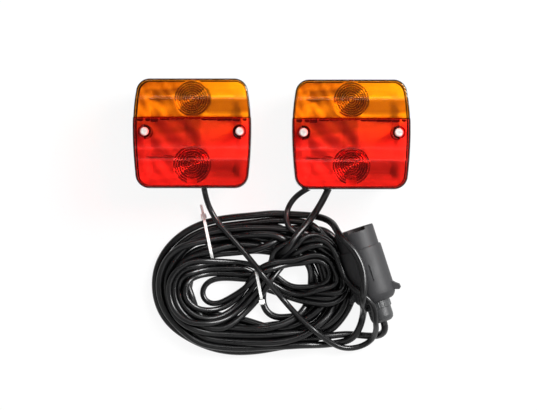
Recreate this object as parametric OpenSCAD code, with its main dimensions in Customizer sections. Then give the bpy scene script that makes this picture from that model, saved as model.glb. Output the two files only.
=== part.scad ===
// Magnetic towing light set: two square rear lamps on pot magnets, a link lead between them
// tied in a hank, and a seven-core lead in an oval coil that ends in a seven-pin plug.
// Millimetres. The lamps lie on their magnets with the lenses up (+Z) and the amber side to +Y.
// The origin is on the resting surface, midway between the lamps.

/* [Lens] */
// Width of the lens at its widest line
lens_w = 106.5; // [103:0.5:109]
// Height of the lens, amber edge to red edge
lens_h = 99; // [97:0.5:102]
// Corner radius of the lens outline
corner_r = 13; // [11:0.5:15]
// Radius of the bowed side above the widest line
bow_top_r = 190; // [170:5:260]
// Radius of the bowed side below the widest line
bow_bottom_r = 400; // [320:10:520]
// Distance of the widest line above the lamp's centre
bow_y = 6; // [2:0.5:9]
// Depth of the lens from the gasket to its raised middle
lens_depth = 30.8; // [29.5:0.1:34]
// Wall of the lens mouldings
lens_wall = 1.9; // [1.6:0.1:2.4]
// How far the lens walls lean in towards the face
lens_draft = 1.2; // [0.8:0.1:2.5]
// Round between the lens face and its walls
lens_edge_r = 2.2; // [1.5:0.1:3]
// Distance of the weld between amber and red from the amber edge
seam_in = 35.5; // [34.5:0.25:36]
// Depth of the weld webs behind the face
seam_web_h = 6; // [3:0.5:8]
// Drop of each step in the face
face_step = 1; // [0.4:0.1:1.2]
// Run of the slope of each step
step_run = 2; // [1:0.25:3]
// Distance of the step in the amber zone from the amber edge
amber_step_in = 16.7; // [15:0.1:18]
// Distance of the first step in the red zone from the red edge
red_step_in = 38; // [36:0.25:39]
// Distance of the second step in the red zone from the red edge
band_step_in = 27.2; // [24:0.1:28]

/* [Fresnel rings] */
// Distance of the centre of the amber rings from the amber edge
amber_ring_in = 18.9; // [18:0.1:19]
// Outer radius of the amber rings
amber_ring_r = 15.8; // [14:0.1:16]
// Distance of the centre of the red rings from the red edge
red_ring_in = 21.3; // [20:0.1:22.5]
// Outer radius of the red rings
red_ring_r = 17.2; // [15:0.1:17.5]
// Number of rings in each field
ring_count = 8; // [5:1:9]
// Depth of the outermost ring prism
ring_depth = 1.7; // [1.2:0.1:2]
// Width of the plain land that breaks the red rings
land_w = 9; // [6:0.5:12]

/* [Lens screws] */
// Distance of each screw from the middle of the lamp
screw_x = 42.5; // [41.5:0.25:43]
// Height of the screws above the lamp's centre
screw_y = 1.6; // [0:0.2:3]
// Diameter of the screw shank
screw_d = 4; // [3.5:0.1:4.4]
// Length of the screw under its head
screw_len = 40; // [34:1:44]
// Diameter of the screw head
head_d = 7.8; // [7:0.1:8.4]
// Height of the screw head
head_h = 2.8; // [2:0.1:3.4]
// Diameter of the well in the lens
well_d = 10.4; // [9.4:0.1:11]
// Depth of the well below the raised middle of the face
well_depth = 5; // [4.5:0.25:7]
// Wall round the well
well_wall = 1.2; // [0.8:0.1:1.5]

/* [Base] */
// Depth of the base from its back to the flange face
base_depth = 23; // [22:0.5:27]
// Floor of the base
base_floor = 2.4; // [1.8:0.1:3]
// Side wall of the base
base_wall = 2.1; // [1.6:0.1:2.6]
// How far the base wall stands in from the lens edge
base_inset = 5.5; // [4.8:0.1:6]
// Thickness of the flange
flange_t = 2.5; // [1.5:0.1:3.5]
// How far the flange stands in from the lens edge
flange_inset = 0.4; // [0.2:0.1:0.6]
// Thickness of the gasket as clamped
gasket_t = 1.2; // [0.8:0.1:2]
// Width of the gasket
gasket_w = 2.8; // [2.2:0.1:3]
// Height of the ridge inside the gasket
ridge_h = 2.5; // [2:0.1:3.5]
// Diameter of the screw bosses
boss_d = 9; // [7.5:0.25:10]

/* [Magnet] */
// Diameter of the pot magnet
magnet_d = 66; // [50:1:72]
// Height of the pot magnet
magnet_h = 10; // [9:0.5:14]
// Steel thickness of the pot
cup_wall = 2.5; // [1.5:0.25:3]
// Bore of the ferrite ring
ferrite_bore = 22; // [16:1:28]
// Diameter of the magnet bolt
bolt_d = 5; // [4:0.5:6]
// Diameter of the bolt head
bolt_head_d = 9.5; // [8:0.5:12]
// Height of the bolt head
bolt_head_h = 3.2; // [2:0.2:4]
// Width of the nut across its flats
nut_af = 8; // [7:0.5:10]
// Height of the nut
nut_h = 4; // [3:0.25:5]

/* [Bulb carrier] */
// Height of the carrier plate above the base floor
carrier_lift = 11.6; // [10:0.2:13]
// Thickness of the carrier plate
carrier_t = 1.4; // [1:0.1:2]
// Diameter of the bowls pressed round the bulbs
bowl_d = 33; // [28:1:36]
// Height of the bowls above the carrier plate
bowl_h = 5; // [3:0.5:6]
// Outer diameter of the bulb holders
holder_d = 16.8; // [16.4:0.1:17.2]
// Sheet thickness of the bulb holders
holder_t = 0.65; // [0.4:0.05:0.8]
// Height of the bulb holders
holder_h = 19; // [17:0.5:20]
// Diameter of the bulb glass
bulb_d = 25; // [22:0.5:26]
// Length of the bulb cap
cap_h = 18; // [17.5:0.25:19]
// Width of the earth strip
strip_w = 14; // [8:0.5:15]
// Thickness of the earth strip and of the contact leaves
strip_t = 0.8; // [0.5:0.1:1]

/* [Set] */
// Distance between the centres of the lamps
lamp_pitch = 142; // [142:1:142]
// How much lower the right lamp lies than the left one
lamp_stagger = 1; // [1:1:1]
// Diameter of the link lead
link_d = 5.2; // [4.8:0.1:5.2]
// Diameter of the plug lead
lead_d = 6.3; // [5.8:0.1:6.3]
// Height of the cable outlets above the base floor's underside
outlet_lift = 9.5; // [9.5:0.5:9.5]

/* [Plug] */
// Outer diameter of the shroud
shroud_d = 36; // [35:0.25:37]
// Inner diameter of the shroud
shroud_bore = 31.2; // [30:0.2:32]
// Length of the shroud ahead of the body
shroud_len = 18.5; // [15:0.5:22]
// Diameter of the plug body
plug_d = 39; // [38:0.5:39]
// Length of the plug from its front to the end of the body
plug_len = 69; // [66:0.5:70]
// Diameter of the pins
pin_d = 5; // [4.4:0.1:5.2]
// Length of the pins ahead of the insert
pin_len = 8.5; // [7:0.5:9]
// Radius of the circle of six pins
pin_circle_r = 9.3; // [8.6:0.1:10]
// Depth of the insert face behind the front of the shroud
insert_depth = 14; // [13:0.25:15]
// Diameter of the boot
boot_d = 23; // [20:0.5:23]
// Length of the boot
boot_len = 19; // [17:0.5:19]

/* [Ties] */
// Width of the tie straps
tie_w = 2.6; // [2:0.1:3.6]
// Thickness of the tie straps
tie_t = 1.2; // [1:0.1:1.2]

/* [Clearances] */
// Play of a screw in the lens column
screw_play = 0.3; // [0.2:0.05:0.5]
// Play of a thread in its pilot hole or nut
thread_play = 0.05; // [0.03:0.01:0.1]
// Gap between pieces that pass close by each other
near_gap = 0.3; // [0.2:0.05:0.5]
// Play of a lead in its grommet, or of a piece in its seat
seat_play = 0.1; // [0.05:0.01:0.2]

/* [Hidden] */

$fn = 48;

// Places across the lamp's face, from its centre towards the amber edge
seam_y = lens_h / 2 - seam_in;
amber_step_y = lens_h / 2 - amber_step_in;
red_step_y = red_step_in - lens_h / 2;
band_step_y = band_step_in - lens_h / 2;
amber_ring_y = lens_h / 2 - amber_ring_in;
red_ring_y = red_ring_in - lens_h / 2;

// Heights of the lamp's pieces above the resting surface
z_back = magnet_h;
z_floor = z_back + base_floor;
z_flange = z_back + base_depth;
z_lens = z_flange + gasket_t;
z_face = z_lens + lens_depth;
z_inner = z_face - lens_wall;
z_boss = z_flange + near_gap;
z_seat = z_face - well_depth;
z_carrier = z_floor + carrier_lift;
z_plate = z_carrier + carrier_t;

// Bulb and holder sizes that follow from the others
holder_bore = holder_d - 2 * holder_t;
holder_flange_d = holder_d + 1.6;
z_lip = z_flange + ridge_h + near_gap;
cap_d = holder_bore - 2 * seat_play;
z_contact = z_floor + strip_t + 0.8;
z_cap = z_contact + 1.2;
z_glass = z_cap + cap_h;
z_holder = z_cap - 1;
bayonet_z = z_glass - 4;
bayonet_d = 2;
z_filament = z_glass + bulb_d / 2 * 0.95;
lens_index = 1.49;

// Outlines of the pieces inside the lamp, as insets from the lens outline
ridge_inset = flange_inset + gasket_w + near_gap;
carrier_inset = base_inset + base_wall + near_gap;
rim_t = 1.4;
column_r = well_d / 2 + well_wall;
ring_fields = [[0, amber_ring_y], [0, red_ring_y]];

// Centres of the corner rounds, so that each is tangent to the bowed side and to the straight edge
function corner_y() = lens_h / 2 - corner_r;
function corner_x(bow_r, dy) = lens_w / 2 - bow_r + sqrt(pow(bow_r - corner_r, 2) - dy * dy);
function side_angle(bow_r, dy) = asin(dy / (bow_r - corner_r));

function arc(c, r, from, to, steps) = [
    for (i = [0 : steps])
        let (a = from + (to - from) * i / steps)
            [c[0] + r * cos(a), c[1] + r * sin(a)]
];

// Right half of the lens outline from its bottom edge up, set in by inset on every side
function half_outline(inset) =
    let (
        dy_top = corner_y() - bow_y,
        dy_bottom = corner_y() + bow_y,
        a_top = side_angle(bow_top_r, dy_top),
        a_bottom = side_angle(bow_bottom_r, dy_bottom),
        top = [corner_x(bow_top_r, dy_top), corner_y()],
        bottom = [corner_x(bow_bottom_r, dy_bottom), -corner_y()]
    )
    concat(
        arc(bottom, corner_r - inset, -90, -a_bottom, 6),
        arc([lens_w / 2 - bow_bottom_r, bow_y], bow_bottom_r - inset, -a_bottom * 0.66, 0, 2),
        arc([lens_w / 2 - bow_top_r, bow_y], bow_top_r - inset, a_top * 0.5, a_top * 0.5, 1),
        arc(top, corner_r - inset, a_top, 90, 6)
    );

function reversed(list) = [for (i = [len(list) - 1 : -1 : 0]) list[i]];
function without_repeats(list) = [
    for (i = [0 : len(list) - 1])
        if (i == 0 || norm(list[i] - list[i - 1]) > 0.001) list[i]
];

function outline(inset) =
    let (half = without_repeats(half_outline(inset)))
    concat(half, [for (p = reversed(half)) [-p[0], p[1]]]);

module ring_wall(outer_inset, inner_inset, z, h) {
    translate([0, 0, z])
    linear_extrude(h)
    difference() {
        polygon(outline(outer_inset));
        polygon(outline(inner_inset));
    }
}

module slab(inset, z, h) {
    translate([0, 0, z])
    linear_extrude(h)
    polygon(outline(inset));
}

// Solid through a list of outlines, one above the other: each row is [inset, height]
module loft(rows) {
    n = len(outline(0));
    points = [for (row = rows) for (p = outline(row[0])) [p[0], p[1], row[1]]];
    sides = [
        for (k = [0 : len(rows) - 2])
            for (i = [0 : n - 1])
                let (j = (i + 1) % n)
                    [k * n + i, (k + 1) * n + i, (k + 1) * n + j, k * n + j]
    ];
    bottom = [for (i = [0 : n - 1]) i];
    top = [for (i = [n - 1 : -1 : 0]) (len(rows) - 1) * n + i];
    polyhedron(points, concat(sides, [bottom, top]), convexity = 4);
}

// Levels of the stepped face from the amber edge down, as [y, drop below the raised middle]
function face_levels() = [
    [lens_h, face_step],
    [amber_step_y, face_step],
    [amber_step_y - step_run, 0],
    [red_step_y, 0],
    [red_step_y - step_run, face_step],
    [band_step_y, face_step],
    [band_step_y - step_run, 2 * face_step],
    [-lens_h, 2 * face_step]
];

// Everything above the stepped face, lowered by depth
module above_face(depth) {
    sky = z_face + 10;
    rotate([90, 0, 90])
    linear_extrude(lens_w + 20, center = true)
    polygon(concat(
        [for (p = face_levels()) [p[0], z_face - p[1] - depth]],
        [[-lens_h, sky], [lens_h, sky]]
    ));
}

module lens_body() {
    edge_z = z_face - lens_edge_r;
    difference() {
        loft(concat(
            [[0, z_lens], [lens_draft, edge_z]],
            [for (a = [22.5 : 22.5 : 90])
                [lens_draft + lens_edge_r * (1 - cos(a)), edge_z + lens_edge_r * sin(a)]]
        ));
        above_face(0);
    }
}

module lens_cavity() {
    difference() {
        loft([
            [lens_wall, z_lens - 1],
            [lens_wall + lens_draft, z_face]
        ]);
        above_face(lens_wall);
    }
}

// Slope of a prism at a radius that turns a ray from the filament straight up through the face
function prism_slope(r, focus) =
    let (turn = atan(r / focus))
    sin(turn) / (lens_index - cos(turn));

// Fresnel rings under the lens face: one revolved sawtooth, steeper from ring to ring outwards
module ring_prisms(r, drop) {
    z_root = z_inner - drop;
    focus = z_root - z_filament;
    pitch = r / ring_count;
    rotate_extrude($fn = 60)
    polygon(concat(
        [[0, z_inner + 0.6], [r, z_inner + 0.6]],
        [for (i = [ring_count : -1 : 1])
            for (end = [0, 1])
                [(i - end) * pitch,
                 z_root - end * ring_depth * prism_slope((i - 0.5) * pitch, focus) / prism_slope(r, focus)]]
    ));
}

// The part of the lamp on the amber side of the weld, or on the red side
module zone(amber) {
    shift = amber ? seam_y : seam_y - 2 * lens_h;
    translate([-lens_w, shift, 0])
    cube([2 * lens_w, 2 * lens_h, 2 * z_face]);
}

module seam_web(inner_y) {
    translate([-lens_w / 2 + 6, min(inner_y, seam_y), z_inner - seam_web_h])
    cube([lens_w - 12, abs(inner_y - seam_y), seam_web_h + 0.5]);
}

module lens_amber() {
    color([0.93, 0.52, 0.08, 0.85])
    intersection() {
        union() {
            difference() {
                lens_body();
                lens_cavity();
            }
            intersection() {
                union() {
                    translate([0, amber_ring_y, 0]) ring_prisms(amber_ring_r, face_step);
                    seam_web(seam_y + 1.6);
                }
                lens_body();
            }
        }
        zone(true);
    }
}

module lens_red() {
    color([0.85, 0.13, 0.13, 0.85])
    difference() {
        intersection() {
            union() {
                difference() {
                    lens_body();
                    lens_cavity();
                }
                intersection() {
                    union() {
                        translate([0, red_ring_y, 0]) ring_prisms(red_ring_r, 2 * face_step);
                        ring_land();
                        seam_web(seam_y - 1.6);
                        for (side = [-1, 1])
                            translate([side * screw_x, screw_y, z_boss + near_gap])
                            cylinder(h = z_face - z_boss, r = column_r);
                    }
                    lens_body();
                }
            }
            zone(false);
        }
        for (side = [-1, 1])
            translate([side * screw_x, screw_y, 0]) {
                translate([0, 0, z_seat]) cylinder(h = well_depth + 1, d = well_d);
                cylinder(h = z_face, d = screw_d + 2 * screw_play);
            }
    }
}

// Plain land that breaks the red rings next to the bottom edge
module ring_land() {
    z_root = z_inner - 2 * face_step;
    translate([-land_w / 2, red_ring_y - red_ring_r, z_root - ring_depth])
    cube([land_w, red_ring_r / 2.2, ring_depth + 0.5]);
}

module gasket() {
    color("#1b1b1b")
    ring_wall(flange_inset + near_gap / 2, flange_inset + gasket_w, z_flange, gasket_t);
}

// Where a cable leaves a lamp: x along the lower wall, the angle from straight down, and
// how far the snout and the sleeve in it stand out of the wall
left_outlet = [9, 10, 2.6, 3.8];
right_link_outlet = [-31, -60, 1.5, 3.8];
right_lead_outlet = [-17.5, -25, 2, 3.2];
outlet_wall = 1.1;
sleeve_wall = 0.9;

module at_outlet(place) {
    translate([place[0], -lens_h / 2 + base_inset, z_back + outlet_lift])
    rotate([90, 0, place[1]])
    children();
}

module base(outlets) {
    color("#232323")
    difference() {
        union() {
            difference() {
                union() {
                    slab(base_inset, z_back, base_depth);
                    slab(flange_inset, z_flange - flange_t, flange_t);
                    difference() {
                        slab(ridge_inset, z_flange, ridge_h);
                        slab(base_inset + base_wall, z_flange - 1, ridge_h + 2);
                        for (side = [-1, 1])
                            translate([side * screw_x, screw_y, z_flange])
                            cylinder(h = ridge_h + 1, r = column_r + near_gap);
                    }
                    for (outlet = outlets)
                        at_outlet(outlet[0])
                        translate([0, 0, -5])
                        cylinder(h = 5 + outlet[0][2], d = outlet[1] + 2 * (sleeve_wall + outlet_wall));
                }
                slab(base_inset + base_wall, z_floor, base_depth + ridge_h);
            }
            intersection() {
                for (side = [-1, 1])
                    translate([side * screw_x, screw_y, z_floor - 0.5])
                    cylinder(h = z_boss - z_floor + 0.5, d = boss_d);
                slab(base_inset, z_back, 2 * base_depth);
            }
            for (x = [-1, 1], y = [-1, 1])
                translate([x * lens_w * 0.3, y * lens_h * 0.33, z_floor - 0.5])
                cylinder(h = carrier_lift + 0.5, d = 6);
        }
        for (side = [-1, 1])
            translate([side * screw_x, screw_y, z_floor + 2])
            cylinder(h = base_depth, d = screw_d + 2 * thread_play);
        for (outlet = outlets)
            at_outlet(outlet[0])
            translate([0, 0, -12])
            cylinder(h = 30, d = outlet[1] + 2 * (sleeve_wall + seat_play));
        translate([0, 0, z_back - 1])
        cylinder(h = base_floor + 2, d = bolt_d + 2 * screw_play);
    }
}

module grommet(place, cable_d) {
    sleeve_d = cable_d + 2 * sleeve_wall;
    color("#161616")
    at_outlet(place)
    difference() {
        union() {
            translate([0, 0, -4]) cylinder(h = 3 + place[3], d = sleeve_d);
            translate([0, 0, place[3] - 1]) cylinder(h = 1, d1 = sleeve_d, d2 = sleeve_d - 0.8);
        }
        translate([0, 0, -6]) cylinder(h = 20, d = cable_d + 2 * seat_play);
    }
}

// Pale tray that carries the bulbs: it hangs by its lip on the ridge of the base
module reflector() {
    lip_inset = lens_wall + 2 * near_gap;
    color("#d9d6cf")
    difference() {
        union() {
            slab(carrier_inset, z_carrier, carrier_t);
            ring_wall(carrier_inset, carrier_inset + rim_t, z_carrier, z_lip - z_carrier + rim_t / 2);
            ring_wall(lip_inset, carrier_inset + rim_t, z_lip, rim_t);
            intersection() {
                translate([-lens_w / 2, seam_y - rim_t / 2, z_carrier])
                cube([lens_w, rim_t, z_inner - seam_web_h - 0.5 - z_carrier]);
                slab(carrier_inset, z_carrier, z_face);
            }
            intersection() {
                for (field = ring_fields)
                    translate([field[0], field[1], z_carrier + carrier_t / 2])
                    bowl();
                slab(carrier_inset + rim_t / 2, z_carrier - 1, z_face);
            }
        }
        for (field = ring_fields)
            translate([field[0], field[1], z_carrier - 1])
            cylinder(h = z_face, d = holder_d + 2 * seat_play);
        for (field = ring_fields)
            translate([field[0], field[1], z_plate])
            cylinder(h = z_face, d = holder_flange_d + 2 * near_gap);
        for (side = [-1, 1])
            translate([side * screw_x, screw_y, z_carrier - 1])
            cylinder(h = z_face, r = column_r + near_gap);
        translate([-strip_w / 2 - near_gap, red_ring_y, z_plate])
        cube([strip_w + 2 * near_gap, amber_ring_y - red_ring_y, strip_t + near_gap]);
    }
}

// Dish that throws the bulb's light forward, open where its holder passes
module bowl() {
    rotate_extrude()
    polygon([
        [holder_d / 2, 0], [bowl_d / 2 - 3, 0], [bowl_d / 2, bowl_h + carrier_t / 2 - 0.8],
        [bowl_d / 2, bowl_h + carrier_t / 2], [bowl_d / 2 - 1.1, bowl_h + carrier_t / 2],
        [bowl_d / 2 - 4.2, carrier_t / 2 + 1.3], [holder_d / 2, carrier_t / 2]
    ]);
}

module earth_strip() {
    color("#9a9890")
    difference() {
        translate([-strip_w / 2, red_ring_y, z_plate])
        cube([strip_w, amber_ring_y - red_ring_y, strip_t]);
        for (field = ring_fields)
            translate([field[0], field[1], z_plate - 1])
            cylinder(h = strip_t + 2, d = holder_flange_d + seat_play);
    }
}

// Pressed socket with two bayonet slots, hung by its flange in the carrier plate
module bulb_holder(y) {
    color("#b9b6ad")
    translate([0, y, 0])
    difference() {
        union() {
            translate([0, 0, z_holder]) cylinder(h = holder_h, d = holder_d);
            translate([0, 0, z_plate]) cylinder(h = strip_t, d = holder_flange_d);
        }
        translate([0, 0, z_holder - 1]) cylinder(h = holder_h + 2, d = holder_bore);
        for (a = [0, 180])
            rotate([0, 0, a])
            translate([holder_bore / 2 - 1, -bayonet_d / 2 - 0.2, bayonet_z - bayonet_d])
            cube([4, bayonet_d + 0.4, holder_h]);
        for (a = [0, 180])
            rotate([0, 0, a])
            translate([holder_bore / 2 - 1, -bayonet_d / 2 - 0.2, bayonet_z - bayonet_d])
            cube([4, 2 * bayonet_d, bayonet_d + 1.4]);
    }
}

module bulb_cap(y) {
    color("#c9c4b2")
    translate([0, y, 0]) {
        translate([0, 0, z_contact]) cylinder(h = z_cap - z_contact, d1 = 5, d2 = 8);
        translate([0, 0, z_cap]) cylinder(h = 1, d1 = cap_d - 2, d2 = cap_d);
        translate([0, 0, z_cap + 1]) cylinder(h = cap_h - 1, d = cap_d);
        translate([0, 0, bayonet_z])
        rotate([0, 90, 0])
        cylinder(h = holder_d + 0.6, d = bayonet_d, center = true);
    }
}

// Pear of the bulb: a neck on the cap and a ball, as a thin wall
module bulb_glass(y) {
    wall = 0.9;
    ball_r = bulb_d / 2;
    neck_r = cap_d / 2 - 0.4;
    ball_z = z_glass + ball_r * 0.95;
    color([0.85, 0.9, 0.9, 0.4])
    translate([0, y, ball_z])
    rotate_extrude()
    difference() {
        pear(ball_r, neck_r, z_glass - ball_z);
        pear(ball_r - wall, neck_r - wall, z_glass - ball_z - 1);
    }
}

module pear(ball_r, neck_r, foot) {
    low = -acos(neck_r / ball_r);
    polygon(concat(
        [[0, foot], [neck_r, foot]],
        [for (i = [0 : 16]) let (a = low + (90 - low) * i / 16) [ball_r * cos(a), ball_r * sin(a)]]
    ));
}

module contact_leaf(y) {
    color("#c9a24a")
    translate([0, y, z_floor]) {
        translate([-4, -9, 0]) cube([8, 18, strip_t]);
        cylinder(h = z_contact - z_floor, d1 = 7, d2 = 4);
    }
}

module cross_recess(size, depth) {
    for (a = [0, 90])
        rotate([0, 0, a])
        translate([-size / 2, -size / 8, -depth])
        cube([size, size / 4, depth + 1]);
}

module pan_screw(shank_d, shank_len, pan_d, pan_h) {
    difference() {
        rotate_extrude()
        polygon([
            [0, -shank_len], [shank_d / 2 - 0.6, -shank_len], [shank_d / 2, -shank_len + 1.2],
            [shank_d / 2, 0], [pan_d / 2, 0], [pan_d / 2, pan_h * 0.45],
            [pan_d * 0.44, pan_h * 0.75], [pan_d * 0.32, pan_h * 0.95], [0, pan_h]
        ]);
        translate([0, 0, pan_h]) cross_recess(pan_d * 0.55, pan_h * 0.55);
    }
}

module lens_screws() {
    color("#dcdcda")
    for (side = [-1, 1])
        translate([side * screw_x, screw_y, z_seat])
        pan_screw(screw_d, screw_len, head_d, head_h);
}

module magnet_cup() {
    color("#8d9194")
    rotate_extrude($fn = 96)
    polygon([
        [bolt_d / 2 + screw_play, magnet_h - cup_wall], [magnet_d / 2 - cup_wall, magnet_h - cup_wall],
        [magnet_d / 2 - cup_wall, 0], [magnet_d / 2, 0],
        [magnet_d / 2, magnet_h - 1.5], [magnet_d / 2 - 1.5, magnet_h], [bolt_d / 2 + screw_play, magnet_h]
    ]);
}

module magnet_ring() {
    color("#3a3a3c")
    difference() {
        translate([0, 0, 0.2])
        cylinder(h = magnet_h - cup_wall - 0.2, d = magnet_d - 2 * cup_wall - 2 * seat_play, $fn = 96);
        translate([0, 0, -1]) cylinder(h = magnet_h, d = ferrite_bore);
    }
}

module magnet_bolt() {
    color("#b4b6b8")
    translate([0, 0, magnet_h - cup_wall])
    mirror([0, 0, 1])
    pan_screw(bolt_d, cup_wall + base_floor + nut_h + 1.5, bolt_head_d, bolt_head_h);
}

module magnet_nut() {
    color("#b4b6b8")
    translate([0, 0, z_floor])
    difference() {
        cylinder(h = nut_h, d = nut_af / cos(30), $fn = 6);
        translate([0, 0, -1]) cylinder(h = nut_h + 2, d = bolt_d + 2 * thread_play);
    }
}

module on_lamp(side) {
    s = side == "left" ? -1 : 1;
    translate([s * lamp_pitch / 2, -s * lamp_stagger / 2, 0])
    children();
}

// Place of the plug: its front centre on the resting surface's plan, and the turn of its axis
plug_front = [74.2, -85.5];
plug_turn = 18;
grip_w = 16;
boot_end = plug_len + boot_len;

// Children are drawn along the plug's axis: z is the distance behind the front, x is to its right
module on_plug() {
    translate([plug_front[0], plug_front[1], plug_d / 2])
    rotate([90, 0, plug_turn])
    children();
}

module plug_shell() {
    body_r = plug_d / 2;
    shroud_r = shroud_d / 2;
    bore_r = shroud_bore / 2;
    neck_r = boot_d / 2 + 1;
    color("#4b4c4e")
    on_plug()
    difference() {
        union() {
            rotate_extrude($fn = 72)
            polygon(concat(
                [[bore_r, 0], [shroud_r - 0.6, 0], [shroud_r, 0.8], [shroud_r, shroud_len],
                 [body_r - 0.5, shroud_len], [body_r, shroud_len + 0.8], [body_r, plug_len - 9]],
                [for (a = [15 : 15 : 75])
                    [neck_r + (body_r - neck_r) * cos(a), plug_len - 9 + 9 * sin(a)]],
                [[neck_r, plug_len], [lead_d / 2 + seat_play, plug_len],
                 [lead_d / 2 + seat_play, plug_len - 22], [bore_r, plug_len - 24]]
            ));
            intersection() {
                rotate_extrude($fn = 72)
                polygon([
                    [body_r - 1, plug_len - 15], [body_r + 2.4, plug_len - 11.5],
                    [body_r + 5, plug_len - 9.5], [body_r + 5.4, plug_len - 6.5],
                    [body_r + 4, plug_len - 5], [body_r + 1, plug_len - 6], [body_r - 1, plug_len - 8]
                ]);
                translate([0, 0, plug_len])
                cube([3 * plug_d, grip_w, plug_len], center = true);
            }
        }
        translate([1.6 - 8, 0, -1]) cube([16, plug_d, 4]);
        translate([-plug_d, -2.5, -1]) cube([plug_d, 5, 7]);
        translate([1.6, body_r - 1, 34.5]) cube([1.4, 5, 15]);
    }
}

function pin_places() = concat([[0, 0]], [for (i = [0 : 5]) pin_circle_r * [sin(60 * i + 30), cos(60 * i + 30)]]);

module plug_insert() {
    insert_len = plug_len - 24 - insert_depth - 10;
    color("#2e2f31")
    on_plug()
    difference() {
        translate([0, 0, insert_depth]) cylinder(h = insert_len, d = shroud_bore - 2 * seat_play, $fn = 72);
        for (p = pin_places())
            translate([p[0], p[1], insert_depth - 1])
            cylinder(h = insert_len + 2, d = pin_d + 2 * seat_play);
    }
}

module plug_pins() {
    insert_len = plug_len - 24 - insert_depth - 10;
    color("#c79a45")
    on_plug()
    for (p = pin_places())
        translate([p[0], p[1], insert_depth - pin_len])
        difference() {
            union() {
                cylinder(h = 1, d1 = pin_d - 1.6, d2 = pin_d);
                translate([0, 0, 1]) cylinder(h = pin_len + insert_len + 3, d = pin_d);
            }
            translate([-0.4, -pin_d, -1]) cube([0.8, 2 * pin_d, pin_len - 1]);
        }
}

module plug_boot() {
    r = boot_d / 2;
    color("#3b3c3e")
    on_plug()
    difference() {
        union() {
            translate([0, 0, plug_len])
            rotate_extrude($fn = 48)
            polygon([
                [0, 0], [r, 0], [r, 6], [r - 0.8, 6.6], [r - 0.8, boot_len - 5],
                [r - 1.6, boot_len - 2.2], [r - 3.4, boot_len - 0.6], [r - 5, boot_len], [0, boot_len]
            ]);
            for (i = [0 : 11])
                rotate([0, 0, 30 * i])
                translate([r - 0.7, 0, plug_len + 0.6])
                cylinder(h = 5, r = 1);
        }
        translate([0, 0, plug_len - 1]) cylinder(h = boot_len + 2, d = lead_d + 2 * seat_play);
    }
}

// The oval coil of the plug lead and the hank of the link lead, which lies on it.
// An oval is its centre, its half sizes, its turn and the power of its roundness in each
// quarter, from the right end round by the top.
coil_oval = [[-22, -133], [86, 62], 0, [2.6, 2, 2.5, 2.8]];
coil_hole = [[-22, -140], [52, 31], 0, [2.2, 2.2, 2.2, 2.2]];
coil_layers = 2;
coil_h = coil_layers * lead_d + 0.4;
coil_z = tie_t;
coil_top = coil_z + coil_h;
hank_h = 2.5 * link_d;
hank_top = coil_top + hank_h;
hank_lobes = [
    [[-50, -148.6], [39.6, 30.4], -8, [2, 2, 2, 2]],
    [[27, -124], [35, 29.5], 14, [2, 2, 2, 2]]
];
hank_holes = [
    [[-46, -142.5], [15, 8], 0, [2, 2, 2, 2]],
    [[31, -124], [13, 8], 14, [2, 2, 2, 2]]
];
waist = [[-9.4, -137.2], [22, 23.8], 10];

function oval_points(oval, steps) = [
    for (i = [0 : steps - 1])
        let (
            a = 360 * i / steps,
            power = oval[3][floor(a / 90)],
            x = oval[1][0] * sign(cos(a)) * pow(abs(cos(a)), 2 / power),
            y = oval[1][1] * sign(sin(a)) * pow(abs(sin(a)), 2 / power),
            turn = oval[2]
        )
        oval[0] + [x * cos(turn) - y * sin(turn), x * sin(turn) + y * cos(turn)]
];

module lead_coil() {
    color("#1d1d1e")
    translate([0, 0, coil_z])
    linear_extrude(coil_h)
    difference() {
        polygon(oval_points(coil_oval, 48));
        polygon(oval_points(coil_hole, 36));
    }
}

module link_hank() {
    color("#242425")
    translate([0, 0, coil_top])
    linear_extrude(hank_h)
    difference() {
        union() {
            for (lobe = hank_lobes)
                polygon(oval_points(lobe, 32));
            translate(waist[0])
            rotate(waist[2])
            square(waist[1], center = true);
        }
        for (hole = hank_holes)
            polygon(oval_points(hole, 20));
    }
}

// A strap loop of inner size w by h, in the plane across y, with its lock at the top
module strap(w, h) {
    difference() {
        translate([-tie_w / 2, -w / 2 - tie_t, -tie_t]) cube([tie_w, w + 2 * tie_t, h + 2 * tie_t]);
        translate([-tie_w, -w / 2, 0]) cube([2 * tie_w, w, h]);
    }
}

module coil_tie() {
    strap_w = 39.6;
    color("#f2f2f0")
    translate([-57.2, -96.1, coil_z])
    rotate([0, 0, 12]) {
        strap(strap_w, coil_h + near_gap);
        translate([-2.3, strap_w / 2 + tie_t - 0.2, coil_h - 3]) cube([4.6, 4, 5]);
    }
}

module hank_tie() {
    strap_w = waist[1][1] + 2 * seat_play;
    color("#f2f2f0")
    translate([waist[0][0], waist[0][1], coil_top])
    rotate([0, 0, waist[2]]) {
        strap(strap_w, hank_h + near_gap);
        translate([-2.6, -strap_w / 2 - tie_t, hank_h + near_gap]) cube([5.2, 5.4, 4]);
    }
}

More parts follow.
